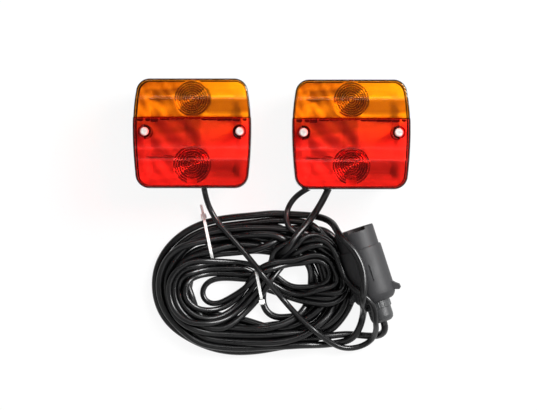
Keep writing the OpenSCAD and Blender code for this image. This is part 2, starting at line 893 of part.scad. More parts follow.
// Routes of the leads where they aren't coiled, by hand in round numbers
link_left_route = [
    [-61.9, -44, 19.5], [-60.9, -50, 19.5], [-59.8, -56, 19.2], [-58, -64, 18.4], [-54.8, -73, 18],
    [-49, -81, 17.8], [-41, -89, 18], [-34, -96, 19.5], [-27.5, -103, 24], [-21, -110.5, 29],
    [-14, -118, 32.2], [-7.8, -125.6, 32.8], [0, -135.6, 32.6], [5.8, -143.4, 31.8], [11.3, -150.2, 31.2],
    [17, -157, 30], [24.6, -166, 22], [33, -174, 18.2], [42, -181, 18], [52, -187, 17],
    [61.4, -191, 14.8], [69, -193.2, 12], [76, -193.8, 8], [82, -192, 6.4], [87.5, -188.5, 10],
    [92, -183.5, 17], [96, -176, 28], [98, -167, 35.2], [97, -159, 37.6], [93.6, -151, 40.6],
    [88, -144, 41.6], [81, -139.6, 40.4], [75.5, -137.2, 37.6], [70, -135.6, 32.4],
    [66.6, -134.4, 27.4], [63, -133, 23]
];
link_right_route = [
    [38.7, -45.25, 19.5], [34.4, -47.75, 19.5], [30.1, -50.2, 19.5], [24.6, -53.2, 19.4],
    [19.4, -57, 19.2], [15.2, -61.6, 18.8], [12.8, -67, 18.2], [12.6, -73, 17.4],
    [14, -79, 17], [16.4, -85, 17], [19, -90.4, 17]
];
lead_start_route = [
    [53.1, -45.4, 19.5], [50.5, -51, 19.5], [47.8, -57.3, 19.7], [45, -64, 20.4], [41.6, -70.6, 21.4],
    [37.6, -77, 20.8], [33.2, -82.6, 18.4], [29.6, -86.4, 17.6], [26.2, -89.2, 17.6]
];
lead_loop_route = [
    [23, -71.8, 9], [29, -72, 9.5], [35, -72.4, 11], [41.4, -73.2, 14],
    [48.2, -75.2, 19.6], [54.4, -78.4, 27], [61, -83.4, 36.5], [68, -90.4, 42.8], [73, -97, 43.4],
    [77, -104, 43.6], [81.6, -114, 44.5], [84.4, -124, 46.5], [85.6, -134, 48.8], [85.8, -144, 49.2],
    [85.2, -152, 44], [84.2, -159, 33], [82.6, -166, 22.6], [80, -172.4, 15.8], [76.8, -178.6, 12.6],
    [72.4, -183.8, 10.8],
    [66.6, -187.8, 8], [59, -190, 4.8], [50, -190.6, 3.6], [40, -189.6, 3.6]
];
lead_end_route = [
    [100.3, -165.8, 19.5], [102.2, -171.6, 19.5], [103, -176.6, 17], [101, -181.4, 13.5],
    [96, -184, 10], [89, -184, 6.4], [82, -183.4, 4], [75, -182.8, 3.4], [68, -182.2, 3.4],
    [60, -181.4, 3.4], [53, -180, 3.4]
];
lead_sides = 10;

function unit(v) = v / norm(v);
function tangent(route, i) = unit(route[min(i + 1, len(route) - 1)] - route[max(i - 1, 0)]);

// One ring of points round each point of the route, square to the way it runs there
module lead_tube(route, d) {
    n = lead_sides;
    points = [
        for (i = [0 : len(route) - 1])
            let (
                t = tangent(route, i),
                across = unit(cross([0, 0, 1], t)),
                up = cross(t, across)
            )
            for (k = [0 : n - 1])
                route[i] + d / 2 * (cos(360 * k / n) * across + sin(360 * k / n) * up)
    ];
    sides = [
        for (i = [0 : len(route) - 2])
            for (k = [0 : n - 1])
                let (j = (k + 1) % n)
                    for (side = [
                        [i * n + k, (i + 1) * n + k, (i + 1) * n + j],
                        [i * n + k, (i + 1) * n + j, i * n + j]
                    ])
                        side
    ];
    start = [for (k = [0 : n - 1]) k];
    end = [for (k = [n - 1 : -1 : 0]) (len(route) - 1) * n + k];
    color("#1a1a1b")
    polyhedron(points, concat(sides, [start, end]), convexity = 6);
}

for (side = ["left", "right"])
    on_lamp(side) {
        outlets = side == "left"
            ? [[left_outlet, link_d]]
            : [[right_link_outlet, link_d], [right_lead_outlet, lead_d]];
        base(outlets);
        gasket();
        lens_red();
        lens_amber();
        reflector();
        earth_strip();
        bulb_holder(amber_ring_y);
        bulb_holder(red_ring_y);
        bulb_cap(amber_ring_y);
        bulb_cap(red_ring_y);
        bulb_glass(amber_ring_y);
        bulb_glass(red_ring_y);
        contact_leaf(amber_ring_y);
        contact_leaf(red_ring_y);
        lens_screws();
        magnet_cup();
        magnet_ring();
        magnet_bolt();
        magnet_nut();
    }
on_lamp("left") grommet(left_outlet, link_d);  // left_link_grommet
on_lamp("right") grommet(right_link_outlet, link_d);  // right_link_grommet
on_lamp("right") grommet(right_lead_outlet, lead_d);  // right_lead_grommet
plug_shell();
plug_insert();
plug_pins();
plug_boot();
lead_coil();
link_hank();
coil_tie();
hank_tie();
lead_tube(link_left_route, link_d);  // link_lead_left
lead_tube(link_right_route, link_d);  // link_lead_right
lead_tube(lead_start_route, lead_d);  // plug_lead_start
lead_tube(lead_loop_route, lead_d);  // plug_lead_loop
lead_tube(lead_end_route, lead_d);  // plug_lead_end
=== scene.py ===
# Looks of the magnetic towing light set: metres, in the part's own frame.
import bpy
import bmesh
import math
import numpy as np
from mathutils import Vector, Matrix
from mathutils.geometry import delaunay_2d_cdt


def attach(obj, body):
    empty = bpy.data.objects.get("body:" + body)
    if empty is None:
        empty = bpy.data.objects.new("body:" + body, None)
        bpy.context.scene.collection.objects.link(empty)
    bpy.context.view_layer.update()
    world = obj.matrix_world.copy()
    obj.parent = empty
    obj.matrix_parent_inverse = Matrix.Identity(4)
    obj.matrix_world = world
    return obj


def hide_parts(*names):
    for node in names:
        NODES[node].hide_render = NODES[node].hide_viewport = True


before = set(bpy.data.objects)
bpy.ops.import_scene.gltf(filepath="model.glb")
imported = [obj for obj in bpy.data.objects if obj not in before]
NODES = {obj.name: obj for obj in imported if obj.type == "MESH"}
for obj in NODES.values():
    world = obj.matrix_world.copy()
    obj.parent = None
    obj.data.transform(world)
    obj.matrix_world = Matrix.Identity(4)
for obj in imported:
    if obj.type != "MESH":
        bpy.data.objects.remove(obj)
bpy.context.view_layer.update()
MM = 0.001


def link_up(obj):
    bpy.context.scene.collection.objects.link(obj)
    return obj


# ---------------------------------------------------------------- camera
# Straight down. FRAME_WIDTH is what the 537 pixels take in at the lens faces, at 1.124 pixels a millimetre.
CAMERA_PLACE = (-0.0028, -0.0636, 2.6)
FACE_DISTANCE = 2.535
FRAME_WIDTH = 0.537 / 1.124
SENSOR = 36
cam_data = bpy.data.cameras.new("camera")
cam = link_up(bpy.data.objects.new("camera", cam_data))
cam.location = CAMERA_PLACE
cam.rotation_euler = (0, 0, 0)
cam_data.sensor_fit = "HORIZONTAL"
cam_data.sensor_width = SENSOR
cam_data.lens = SENSOR * FACE_DISTANCE / FRAME_WIDTH
cam_data.clip_start = 0.05
cam_data.clip_end = 50
bpy.context.scene.camera = cam

# ---------------------------------------------------------------- cords, in millimetres
LEAD_D, LINK_D = 6.3, 5.2
PLUG_FRONT, PLUG_TURN, PLUG_Z = (74.2, -85.5), 18.0, 19.5
# the plug's and boot's radius at distances behind the plug's front
PLUG_PLACES = [-3, 0, 18.5, 60, 66, 69, 70, 87, 90]
PLUG_RADII = [0, 18, 19.6, 19.6, 16, 12.6, 11.6, 11.3, 3]
COIL_MIDDLE, COIL_HALF = (-22, -133), (86, 62)
COIL_TIE, COIL_TIE_TURN = (-57.2, -96.1), 12
HANK_TIE, HANK_TIE_TURN = (-11.2, -138.3), 10.5


def even_points(points, step):
    """Points a step apart on a smooth curve through the given points."""
    p = np.array(points, float)
    q = np.vstack([2 * p[0] - p[1], p, 2 * p[-1] - p[-2]])
    out = []
    for i in range(1, len(q) - 2):
        a, b, c, d = q[i - 1], q[i], q[i + 1], q[i + 2]
        n = max(int(np.linalg.norm(c - b) / 0.5), 2)
        t = (np.arange(n) / n)[:, None]
        out.append(0.5 * (2 * b + (c - a) * t + (2 * a - 5 * b + 4 * c - d) * t ** 2
                          + (3 * b - a - 3 * c + d) * t ** 3))
    out = np.vstack(out + [q[-2:-1]])
    s = np.concatenate([[0], np.cumsum(np.linalg.norm(np.diff(out, axis=0), axis=1))])
    u = np.linspace(0, s[-1], int(round(s[-1] / step)) + 1)
    return np.stack([np.interp(u, s, out[:, k]) for k in range(3)], 1)


def power(c, s, p):
    """Coordinate on a superellipse of power p and half axis s, from a cosine or sine c."""
    return math.copysign(abs(c) ** (2 / p), c) * s


def oval(theta, inset, z):
    """A point of the coil's outline at an angle, set in."""
    c, s = math.cos(math.radians(theta)), math.sin(math.radians(theta))
    p = (2.6, 2.0, 2.5, 2.8)[int((theta % 360) // 90)]
    return (COIL_MIDDLE[0] + power(c, COIL_HALF[0] - inset, p),
            COIL_MIDDLE[1] + power(s, COIL_HALF[1] - inset * (1 + 0.22 * s), p), z)


def turns(rows, first, last):
    """Turns of the oval: each row holds the inset at four quarters and the height, from the angle first on."""
    quarter = round(first / 90) * 90
    keys = [quarter + 90 * k for k in range(4 * len(rows))]
    insets = [row[j] for row in rows for j in range(4)]
    heights = [row[4] for row in rows for j in range(4)]
    n = int((last - first) / 15)
    angles = [first + (last - first) * i / n for i in range(n + 1)]
    return [oval(a, float(np.interp(a, keys, insets)), float(np.interp(a, keys, heights))) for a in angles]


LEAD_START = [
    (53.5, -44.5, 19.5), (53.1, -45.4, 19.5), (50.5, -51, 19.6), (47.6, -57.6, 20.2), (44.4, -64, 21.4),
    (40.6, -70.6, 23.6), (36.4, -77, 26), (32, -82.8, 28.5), (27.4, -88, 31), (22.4, -92.8, 33),
    (17.4, -97.6, 34), (12.6, -102.6, 34), (8, -108, 33), (3.6, -113.6, 30), (-0.6, -119.8, 25),
    (-4.2, -126.6, 18.6), (-6.8, -134.4, 13), (-7.6, -143, 9), (-5.8, -151.6, 5.6), (-1.6, -159.2, 3.6),
    (4.8, -165, 3.2), (13, -168.6, 3.2), (22.4, -168.8, 3.2), (32, -165.4, 3.2), (40.6, -158.6, 3.2)]
LEAD_LOOP = [
    (40, -189.6, 3.6), (50, -190.6, 3.6), (59, -190, 4.8), (66.6, -187.8, 8), (72.4, -183.8, 10.8),
    (76.8, -178.6, 12.6), (80, -172.4, 15.8), (82.6, -166, 22.6), (84.2, -159, 33), (85.2, -152, 44),
    (85.8, -144, 49.2), (85.6, -134, 48.8), (84.4, -124, 46.5), (81.6, -114, 44.5), (77, -104, 43.6),
    (73, -97, 43.4), (68, -90.4, 42.8), (61, -83.4, 36.5), (54.4, -78.4, 27), (48.2, -75.2, 19.6),
    (41.4, -72.8, 14), (35, -73, 11), (29, -74.2, 9.5), (23, -75.2, 9)]
LEAD_END = [
    (53, -180, 3.4), (60, -181.4, 3.4), (68, -182.2, 3.4), (75, -182.8, 3.4), (82, -183.4, 4), (89, -184, 6.4),
    (96, -184, 10), (101, -181.4, 13.5), (103, -176.6, 17), (102.2, -171.6, 19.5), (100.3, -165.8, 19.5)]
# insets of the coil's first turns at the right, top, left and bottom, and their height
TURNS_1 = [(22, 19, 27, 24, 3.2), (14, 24, 19, 7, 9.4), (4, 12, 12, 15, 9.4), (-5, 28, 30, 23, 9.4),
           (26, 17, 6, 5, 9.4)]
# the same for its last turns, from the top on
TURNS_2 = [(2.5, 1.5, 4, 1, 3.2), (8.6, 8, 11.5, 9, 3.2), (15, 15, 18.7, -12, 3.2), (22, 22, 23, 17, 3.2),
           (27, 28, 13, -6, 4)]
LINK_LEFT = [
    (-62, -43.5, 19.5), (-61.9, -44, 19.5), (-60.9, -50, 19.5), (-59.8, -56, 19.8), (-58, -64, 21),
    (-54.8, -73, 22.4), (-49, -81, 23.4), (-41, -89, 24), (-34, -96, 24.6), (-27.5, -103, 26), (-21, -110.5, 29),
    (-14, -118, 33), (-7.8, -125.6, 36), (0, -135.6, 37), (5.8, -143.4, 34), (11.3, -150.2, 31.2),
    (17, -157, 28), (24.6, -166, 22), (33, -174, 18.2), (42, -181, 18), (52, -187, 17),
    (61.4, -191, 14.8), (69, -193.2, 12), (76, -193.8, 8), (82, -192, 6.4), (87.5, -188.5, 10),
    (92, -183.5, 17), (96, -176, 28), (98, -167, 35.2), (97, -159, 37.6), (93.6, -151, 40.6),
    (88, -144, 41.6), (81, -139.6, 40.4), (75.5, -136, 36)]
LINK_RIGHT = [
    (17.4, -86, 19), (14.4, -80, 18), (12.6, -73, 17.4), (12.8, -67, 18.2), (15.2, -61.6, 18.8),
    (19.4, -57, 19.2), (24.6, -53.2, 19.4), (30.1, -50.2, 19.5), (34.4, -47.75, 19.5), (38.7, -45.25, 19.5),
    (40, -44.5, 19.5)]
# The hank's turns: x and y are quarter pixels of the picture, counted from its pixel (130, 180), and the third
# number is the height in millimetres. L and U are the heights of the lower and the upper run where they cross.
L, U = 21, 28
HANK = [
    [(657, 213, 20), (672, 231, 22), (694, 242, 24), (724, 243, 25), (760, 252, 26), (800, 275, 26), (838, 310, 26),
     (860, 355, 26), (868, 405, 25)],
    [(858, 452, 23), (825, 478, 22), (765, 492, L), (700, 488, L), (640, 474, L), (592, 448, L), (556, 420, L),
     (526, 396, L), (495, 378, L), (450, 361, L), (395, 346, 23), (330, 334, 24), (260, 333, 24), (205, 354, 24),
     (177, 396, 24), (173, 442, 24), (188, 502, 24), (230, 560, 25), (290, 594, 26), (345, 602, 26), (400, 588, 27),
     (450, 550, 28), (496, 500, U), (534, 446, U), (570, 388, U), (604, 332, U), (645, 284, U), (695, 254, 28),
     (750, 247, 27), (803, 265, 27), (842, 303, 26), (864, 352, 26), (866, 404, 26)],
    [(848, 446, 26), (812, 466, 24), (760, 472, 23), (700, 468, 22), (648, 452, L), (604, 430, L), (566, 408, L),
     (530, 390, L), (494, 374, L), (440, 366, 22), (378, 352, 25), (312, 347, 26), (248, 356, 26), (205, 384, 26),
     (190, 425, 26), (200, 480, 26), (240, 532, 27), (296, 560, 28), (352, 560, 29), (405, 532, 30), (450, 492, 31),
     (492, 444, 31), (528, 396, 31), (564, 345, 31), (600, 300, 30), (640, 262, 28), (690, 236, 27), (745, 230, 27),
     (800, 246, 27), (846, 286, 27), (873, 340, 27), (878, 392, 27)],
    [(862, 440, 28), (820, 462, 27), (770, 455, 26), (720, 445, 25), (668, 438, 24), (616, 424, 23), (574, 404, 22),
     (536, 388, 21), (500, 380, 21), (452, 372, 22), (400, 366, 24), (345, 364, 26), (285, 372, 27), (235, 396, 27),
     (212, 436, 27), (224, 486, 28), (266, 520, 29), (320, 530, 30), (372, 514, 31), (420, 478, 32), (460, 436, 33),
     (500, 390, 33), (540, 352, 33), (580, 322, 32), (630, 302, 30), (690, 296, 29), (750, 300, 28), (800, 322, 28),
     (830, 360, 28), (832, 402, 28)],
    [(812, 436, 28), (776, 456, 28), (722, 462, 27), (670, 456, 26), (620, 444, 25), (582, 424, 23), (546, 402, 22),
     (510, 388, 22), (466, 384, 23), (418, 382, 24), (364, 388, 25), (318, 406, 25), (292, 440, 25), (300, 482, 26),
     (340, 500, 28), (388, 492, 31), (434, 462, 34), (476, 420, 35), (516, 378, 35), (552, 352, 34), (596, 338, 33),
     (650, 330, 31), (705, 318, 30), (755, 316, 29), (790, 338, 28), (798, 376, 28)],
    [(778, 412, 27), (738, 434, 26), (690, 440, 25), (640, 432, 24), (590, 414, 23), (548, 394, 22), (512, 372, 22),
     (470, 352, 23), (420, 340, 24), (360, 330, 24), (300, 322, 24), (236, 336, 25), (192, 366, 26), (160, 420, 26),
     (168, 486, 26), (206, 546, 26), (262, 584, 27), (318, 592, 27), (372, 574, 28), (422, 536, 30), (468, 484, 32),
     (506, 432, 33), (538, 384, 33), (566, 336, 32), (598, 290, 30),
     (638, 257, 28), (686, 238, 27), (740, 234, 27), (792, 250, 27), (838, 288, 28), (866, 336, 29), (880, 383, 31)]]


def hank_points():
    """The hank's points in millimetres: a place in the picture, seen from 2600 mm up, at each point's height."""
    out = []
    for x, y, z in [p for turn in HANK for p in turn]:
        scale = 1.117 * 2535 / (2600 - z)  # pixels a millimetre at z; the camera's own is 0.6% more
        out.append(((x / 4 - 138.5) / scale - 2.8, (25 - y / 4) / scale - 63.6, z))
    return out


def off_plug(P, r):
    """Pushes points out of the plug and its boot, but leaves what runs inside the boot."""
    a = math.radians(PLUG_TURN)
    ax = np.array([math.sin(a), -math.cos(a), 0.0])
    v = P - np.array([PLUG_FRONT[0], PLUG_FRONT[1], PLUG_Z])
    s = v @ ax
    w = v - s[:, None] * ax
    dist = np.linalg.norm(w, axis=1) + 1e-9
    R = np.interp(s, PLUG_PLACES, PLUG_RADII)
    hit = (s > -3) & (s < 87) & (dist < R + r) & (dist > 4)
    return P + w / dist[:, None] * np.where(hit, R + r - dist, 0)[:, None]


def smooth(Q, c):
    """One pass against sharp changes of curvature."""
    lap = Q[:-2] - 2 * Q[1:-1] + Q[2:]
    Q[2:-2] -= c * (lap[:-2] - 2 * lap[1:-1] + lap[2:])


# the settling's numbers, in millimetres or as shares a pass
SINK, LAST_SINK, HOLD = 0.22, 0.08, 0.05  # fall, fall in the last fifth, pull back to the drawn x and y
STIFF, BEND_FLAT, BEND_UP = 0.06, 0.02, 0.10  # against changes of curvature, and bends in plan and in height
NEAR_SQUARED, NEAR_UP, APART = 90, 14, 5  # pairs to look at: in plan, in height, and in points along one cord
CLEARLY_HIGHER, UPWARDS, PUSH = 2, 0.4, 1.3  # how points that touch part
STRAP_ROOM, STRAP_FLAT, STRAP_FADE, STRAP_REACH = 0.8, 2, 14, 28  # what the first tie lifts, and how far from it


def settle(step=4.0, falls=420, rests=80):
    """Both cords from where they are drawn down onto the floor and each other: passes that sink, then that rest."""
    lead = even_points(LEAD_START + turns(TURNS_1, -16, 4 * 360 + 303) + LEAD_LOOP
                       + turns(TURNS_2, 80, 4 * 360 + 300) + LEAD_END, step)
    link = even_points(LINK_RIGHT[::-1] + hank_points() + LINK_LEFT[::-1], step * 0.85)
    P = np.vstack([lead, link])
    n = len(lead)
    spans = [(0, n), (n, len(P))]
    r = np.where(np.arange(len(P)) < n, LEAD_D / 2, LINK_D / 2)
    cord = (np.arange(len(P)) >= n).astype(int)
    drawn = P.copy()
    lengths = [np.linalg.norm(np.diff(P[a:b], axis=0), axis=1) for a, b in spans]
    # the turns lie on the strap of the first tie where it passes under them
    a = math.radians(COIL_TIE_TURN)
    off = np.abs((P[:, 0] - COIL_TIE[0]) * math.cos(a) + (P[:, 1] - COIL_TIE[1]) * math.sin(a))
    under = (STRAP_ROOM * np.clip(1 - (off - STRAP_FLAT) / STRAP_FADE, 0, 1)
             * (np.abs(P[:, 1] - COIL_TIE[1]) < STRAP_REACH))
    fixed = np.zeros(len(P), bool)
    for a, b in spans:
        fixed[a:a + 3] = fixed[b - 3:b] = True
    for it in range(falls + rests):
        if it % 12 == 0:  # pairs of points that may come to touch
            x, y = P[:, 0].astype(np.float32), P[:, 1].astype(np.float32)
            near = (x[:, None] - x[None]) ** 2 + (y[:, None] - y[None]) ** 2 < NEAR_SQUARED
            I, J = np.where(np.triu(near, 1))
            ok = (np.abs(P[I, 2] - P[J, 2]) < NEAR_UP) & ((cord[I] != cord[J]) | (np.abs(I - J) > APART))
            I, J = I[ok], J[ok]
        if it < falls:
            P[:, 2] -= SINK if it < falls * 0.8 else LAST_SINK
            P[:, :2] += (drawn[:, :2] - P[:, :2]) * HOLD
        for a, b in spans:
            Q = P[a:b]
            for _ in range(3):
                smooth(Q, STIFF)
            lap = np.zeros_like(Q)
            lap[1:-1] = 0.5 * (Q[:-2] + Q[2:]) - Q[1:-1]
            Q[:, :2] += BEND_FLAT * lap[:, :2]
            Q[:, 2] += BEND_UP * lap[:, 2]
        for _ in range(3):  # points that touch part, and what was drawn clearly higher goes on top
            d = P[J] - P[I]
            dist = np.linalg.norm(d, axis=1) + 1e-9
            over = r[I] + r[J] - dist
            m = over > 0
            ii, jj, dd = I[m], J[m], d[m] / dist[m, None]
            rise = drawn[jj, 2] - drawn[ii, 2]
            dd[:, 2] += UPWARDS * np.sign(rise) * (np.abs(rise) > CLEARLY_HIGHER)
            dd /= np.linalg.norm(dd, axis=1)[:, None]
            push = dd * (over[m] * 0.5)[:, None]
            acc, cnt = np.zeros_like(P), np.zeros(len(P))
            np.add.at(acc, jj, push)
            np.add.at(acc, ii, -push)
            np.add.at(cnt, jj, 1)
            np.add.at(cnt, ii, 1)
            P += acc / np.maximum(cnt, 1)[:, None] * PUSH
            P[:, 2] = np.maximum(P[:, 2], r + under)
        P = off_plug(P, r)
        P[:, 2] = np.maximum(P[:, 2], r + under)
        for (a, b), rest in zip(spans, lengths):  # the steps along each cord keep their drawn lengths
            for _ in range(2):
                for s0 in (0, 1):
                    i = np.arange(a + s0, b - 1, 2)
                    d = P[i + 1] - P[i]
                    dist = np.linalg.norm(d, axis=1) + 1e-9
                    c = ((dist - rest[i - a]) / dist * 0.5)[:, None]
                    P[i] += d * c
                    P[i + 1] -= d * c
        P[fixed] = drawn[fixed]
    return P[:n], P[n:]


def curve_cord(name, points, diameter):
    """A cord as one open spline along the settled points, which are in millimetres; its diameter is in metres."""
    data = bpy.data.curves.new(name, "CURVE")
    data.dimensions = "3D"
    data.resolution_u = 2
    data.bevel_depth = 1.0  # times each point's radius, so that the bounds take in the cord and no more
    data.bevel_resolution = 5
    data.use_fill_caps = True
    spline = data.splines.new("NURBS")
    spline.points.add(len(points) - 1)
    flat = np.column_stack([np.array(points) * MM, np.ones(len(points))]).astype(np.float32)
    spline.points.foreach_set("co", flat.ravel())
    spline.points.foreach_set("radius", np.full(len(points), diameter / 2, np.float32))
    spline.order_u = 4
    spline.use_endpoint_u = True
    obj = link_up(bpy.data.objects.new(name, data))
    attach(obj, "root")
    return obj


def measured(points):
    """Length along the points, in metres."""
    return float(np.linalg.norm(np.diff(points, axis=0), axis=1).sum()) * MM


lead_points, link_points = settle()
lead = curve_cord("plug_lead", lead_points, 0.0063)
link = curve_cord("link_lead", link_points, 0.0052)
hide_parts("lead_coil", "plug_lead_start", "plug_lead_loop", "plug_lead_end")
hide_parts("link_hank", "link_lead_left", "link_lead_right")
round(measured(lead_points), 2)
round(measured(link_points), 2)


# ---------------------------------------------------------------- materials
def lin(r, g, b):
    """Screen colour, 0 to 255, as the linear colour that a shader takes."""
    out = []
    for v in (r, g, b):
        v = v / 255
        out.append(v / 12.92 if v <= 0.04045 else ((v + 0.055) / 1.055) ** 2.4)
    return (*out, 1.0)


def started(name):
    """A material with an empty node tree: the material, its tree's makers of nodes and links, and its output."""
    m = bpy.data.materials.new(name)
    m.use_nodes = True
    nt = m.node_tree
    nt.nodes.clear()
    new, join = makers(nt)
    return m, new, join, new("OutputMaterial")


def makers(nt):
    """new(kind, **inputs) adds a node and sets its inputs, with _ for a space; join(output, input) links two."""
    def new(kind, **inputs):
        node = nt.nodes.new("ShaderNode" + kind)
        for key, value in inputs.items():
            node.inputs[key.replace("_", " ")].default_value = value
        return node

    return new, nt.links.new


def coloured_ramp(new, low, high, dark, light):
    """A ramp from dark at low to light at high."""
    ramp = new("ValToRGB")
    for element, place, colour in zip(ramp.color_ramp.elements, (low, high), (dark, light)):
        element.position = place
        element.color = colour
    return ramp


def finish_of(name, colour, rough, metal=0.0, cloud=0.12, cloud_scale=60.0, grain=900.0, bump=0.05,
              rough_spread=0.08, coat=0.0, streak=None):
    """Moulded, pressed or turned surface: cloudy colour, uneven gloss and a fine grain."""
    m, new, join, out = started(name)
    bsdf = new("BsdfPrincipled", Metallic=metal, Coat_Weight=coat)
    join(bsdf.outputs["BSDF"], out.inputs["Surface"])
    source = new("TexCoord").outputs["Object"]
    if streak:
        mapping = new("Mapping", Scale=streak)
        join(source, mapping.inputs["Vector"])
        source = mapping.outputs["Vector"]
    clouds = new("TexNoise", Scale=cloud_scale, Detail=4)
    join(source, clouds.inputs["Vector"])
    dark = tuple(c * (1 - cloud) for c in colour[:3]) + (1,)
    light = tuple(min(c * (1 + cloud), 1) for c in colour[:3]) + (1,)
    ramp = coloured_ramp(new, 0.3, 0.7, dark, light)
    join(clouds.outputs["Fac"], ramp.inputs["Fac"])
    join(ramp.outputs["Color"], bsdf.inputs["Base Color"])
    spread = new("MapRange", From_Min=0.3, From_Max=0.7, To_Min=max(rough - rough_spread, 0.02),
                 To_Max=min(rough + rough_spread, 1))
    join(clouds.outputs["Fac"], spread.inputs["Value"])
    join(spread.outputs["Result"], bsdf.inputs["Roughness"])
    fine = new("TexNoise", Scale=grain, Detail=2)
    join(source, fine.inputs["Vector"])
    raised = new("Bump", Strength=bump, Distance=0.0004)
    join(fine.outputs["Fac"], raised.inputs["Height"])
    join(raised.outputs["Normal"], bsdf.inputs["Normal"])
    return m


def blend(new, join, out, first, second, amount):
    """Makes the surface a mix of two shaders."""
    mix = new("MixShader")
    join(amount, mix.inputs["Fac"])
    join(first, mix.inputs[1])
    join(second, mix.inputs[2])
    join(mix.outputs["Shader"], out.inputs["Surface"])


def times(new, join, source, amount):
    """A value multiplied by a fixed amount."""
    part = new("Math")
    part.operation = "MULTIPLY"
    part.inputs[1].default_value = amount
    join(source, part.inputs[0])
    return part.outputs[0]


def clear_of(name, tint, rough, ior, bump=0.0, bump_scale=120.0, depth=None):
    """Clear or tinted moulding. Light that looks for a lamp goes straight through it, tinted."""
    m, new, join, out = started(name)
    bsdf = new("BsdfPrincipled", Transmission_Weight=1.0, IOR=ior)
    clouds = new("TexNoise", Scale=bump_scale, Detail=3)
    join(new("TexCoord").outputs["Object"], clouds.inputs["Vector"])
    ramp = coloured_ramp(new, 0.25, 0.75, tuple(c * 0.94 for c in tint) + (1,), tint + (1,))
    join(clouds.outputs["Fac"], ramp.inputs["Fac"])
    join(ramp.outputs["Color"], bsdf.inputs["Base Color"])
    spread = new("MapRange", To_Min=max(rough - 0.015, 0.0), To_Max=rough + 0.015)
    join(clouds.outputs["Fac"], spread.inputs["Value"])
    join(spread.outputs["Result"], bsdf.inputs["Roughness"])
    if bump:
        raised = new("Bump", Strength=bump, Distance=0.0005)
        join(clouds.outputs["Fac"], raised.inputs["Height"])
        join(raised.outputs["Normal"], bsdf.inputs["Normal"])
    through = new("BsdfTransparent", Color=tuple(math.sqrt(c) for c in tint) + (1,))
    blend(new, join, out, bsdf.outputs["BSDF"], through.outputs["BSDF"], new("LightPath").outputs["Is Shadow Ray"])
    if depth:
        # colour that builds up with the thickness of plastic, so that walls seen end on are dark
        inside = new("VolumeAbsorption", Color=depth + (1,), Density=800)
        join(inside.outputs["Volume"], out.inputs["Volume"])
    return m


def shaded_by(m, attribute):
    """Multiplies the colour by painted light and shade that the mesh carries."""
    new, join = makers(m.node_tree)
    bsdf = next(n for n in m.node_tree.nodes if n.type == "BSDF_PRINCIPLED")
    plain = bsdf.inputs["Base Color"].links[0].from_socket
    painted_shading = new("Attribute")
    painted_shading.attribute_name = attribute
    mix = new("Mix")
    mix.data_type = "RGBA"
    mix.blend_type = "MULTIPLY"
    mix.inputs[0].default_value = 1.0
    join(plain, mix.inputs[6])
    join(painted_shading.outputs["Color"], mix.inputs[7])
    join(mix.outputs[2], bsdf.inputs["Base Color"])
    return m


def lets_light(m, amount):
    """Thin pale plastic: part of the light that looks for a lamp passes through it."""
    new, join = makers(m.node_tree)
    out = next(n for n in m.node_tree.nodes if n.type == "OUTPUT_MATERIAL")
    solid = out.inputs["Surface"].links[0].from_socket
    part = times(new, join, new("LightPath").outputs["Is Shadow Ray"], amount)
    blend(new, join, out, solid, new("BsdfTransparent").outputs["BSDF"], part)
    return m


M = {
    "base_black": finish_of("base_black", lin(30, 30, 31), 0.42, grain=1500, bump=0.10),
    "gasket": finish_of("gasket_rubber", lin(26, 26, 26), 0.75, grain=2200, bump=0.25),
    "grommet": finish_of("grommet_rubber", lin(22, 22, 22), 0.6, grain=2200, bump=0.2),
    "red": clear_of("lens_red", (0.99, 0.25, 0.20), 0.035, 1.49, bump=0.03, depth=(0.95, 0.60, 0.56)),
    "amber": clear_of("lens_amber", (0.99, 0.74, 0.10), 0.035, 1.49, bump=0.03, depth=(0.95, 0.76, 0.42)),
    "carrier": finish_of("carrier_white", lin(214, 211, 203), 0.34, cloud=0.05, grain=700),
    # the tray's white is multiplied by the painted light and shade that its mesh carries
    "tray": shaded_by(finish_of("tray_white", (0.94, 0.92, 0.88, 1), 0.4, cloud=0.05, grain=700), "painted_light_and_shade"),
    "partition": lets_light(finish_of("partition_white", lin(214, 211, 203), 0.4, cloud=0.05, grain=700), 0.75),
    "strip": finish_of("plated_strip", lin(150, 148, 142), 0.5, metal=0.35, cloud=0.06, streak=(1, 3, 1)),
    "seal": finish_of("partition_seal", lin(60, 26, 28), 0.6, cloud=0.25, grain=1200, bump=0.2),
    "holder": finish_of("plated_holder", lin(198, 192, 176), 0.25, metal=1, cloud=0.1, streak=(1, 1, 8)),
    "cap": finish_of("bulb_cap", lin(206, 196, 160), 0.3, metal=1, cloud=0.08, streak=(1, 1, 8)),
    "glass": clear_of("bulb_glass", (0.97, 0.98, 0.98), 0.015, 1.5),
    "brass": finish_of("brass", lin(214, 168, 82), 0.28, metal=1, cloud=0.1, streak=(1, 1, 6)),
    "screw": finish_of("screw_white", lin(226, 223, 219), 0.3, cloud=0.06, grain=1200, bump=0.08, coat=0.4),
    "bolt": finish_of("bolt_steel", lin(170, 172, 174), 0.32, metal=1, cloud=0.1),
    "pot": finish_of("pot_steel", lin(178, 180, 182), 0.36, metal=1, cloud=0.14, cloud_scale=25, streak=(1, 1, 5)),
    "ferrite": finish_of("ferrite", lin(44, 44, 47), 0.7, cloud=0.2, grain=1600, bump=0.35),
    "plug_shell": finish_of("plug_grey", lin(34, 34, 36), 0.56, cloud=0.1, grain=1700, bump=0.18),
    "plug_insert": finish_of("plug_black", lin(26, 26, 27), 0.55, grain=1700, bump=0.15),
    "boot": finish_of("boot_grey", lin(50, 51, 52), 0.42, cloud=0.12, grain=1200, bump=0.16),
    "cable": finish_of("cable_black", lin(9, 9, 10), 0.28, cloud=0.15, cloud_scale=35, grain=420, bump=0.035,
                       rough_spread=0.05),
    "nylon": finish_of("nylon_white", lin(242, 242, 240), 0.38, cloud=0.03),
}


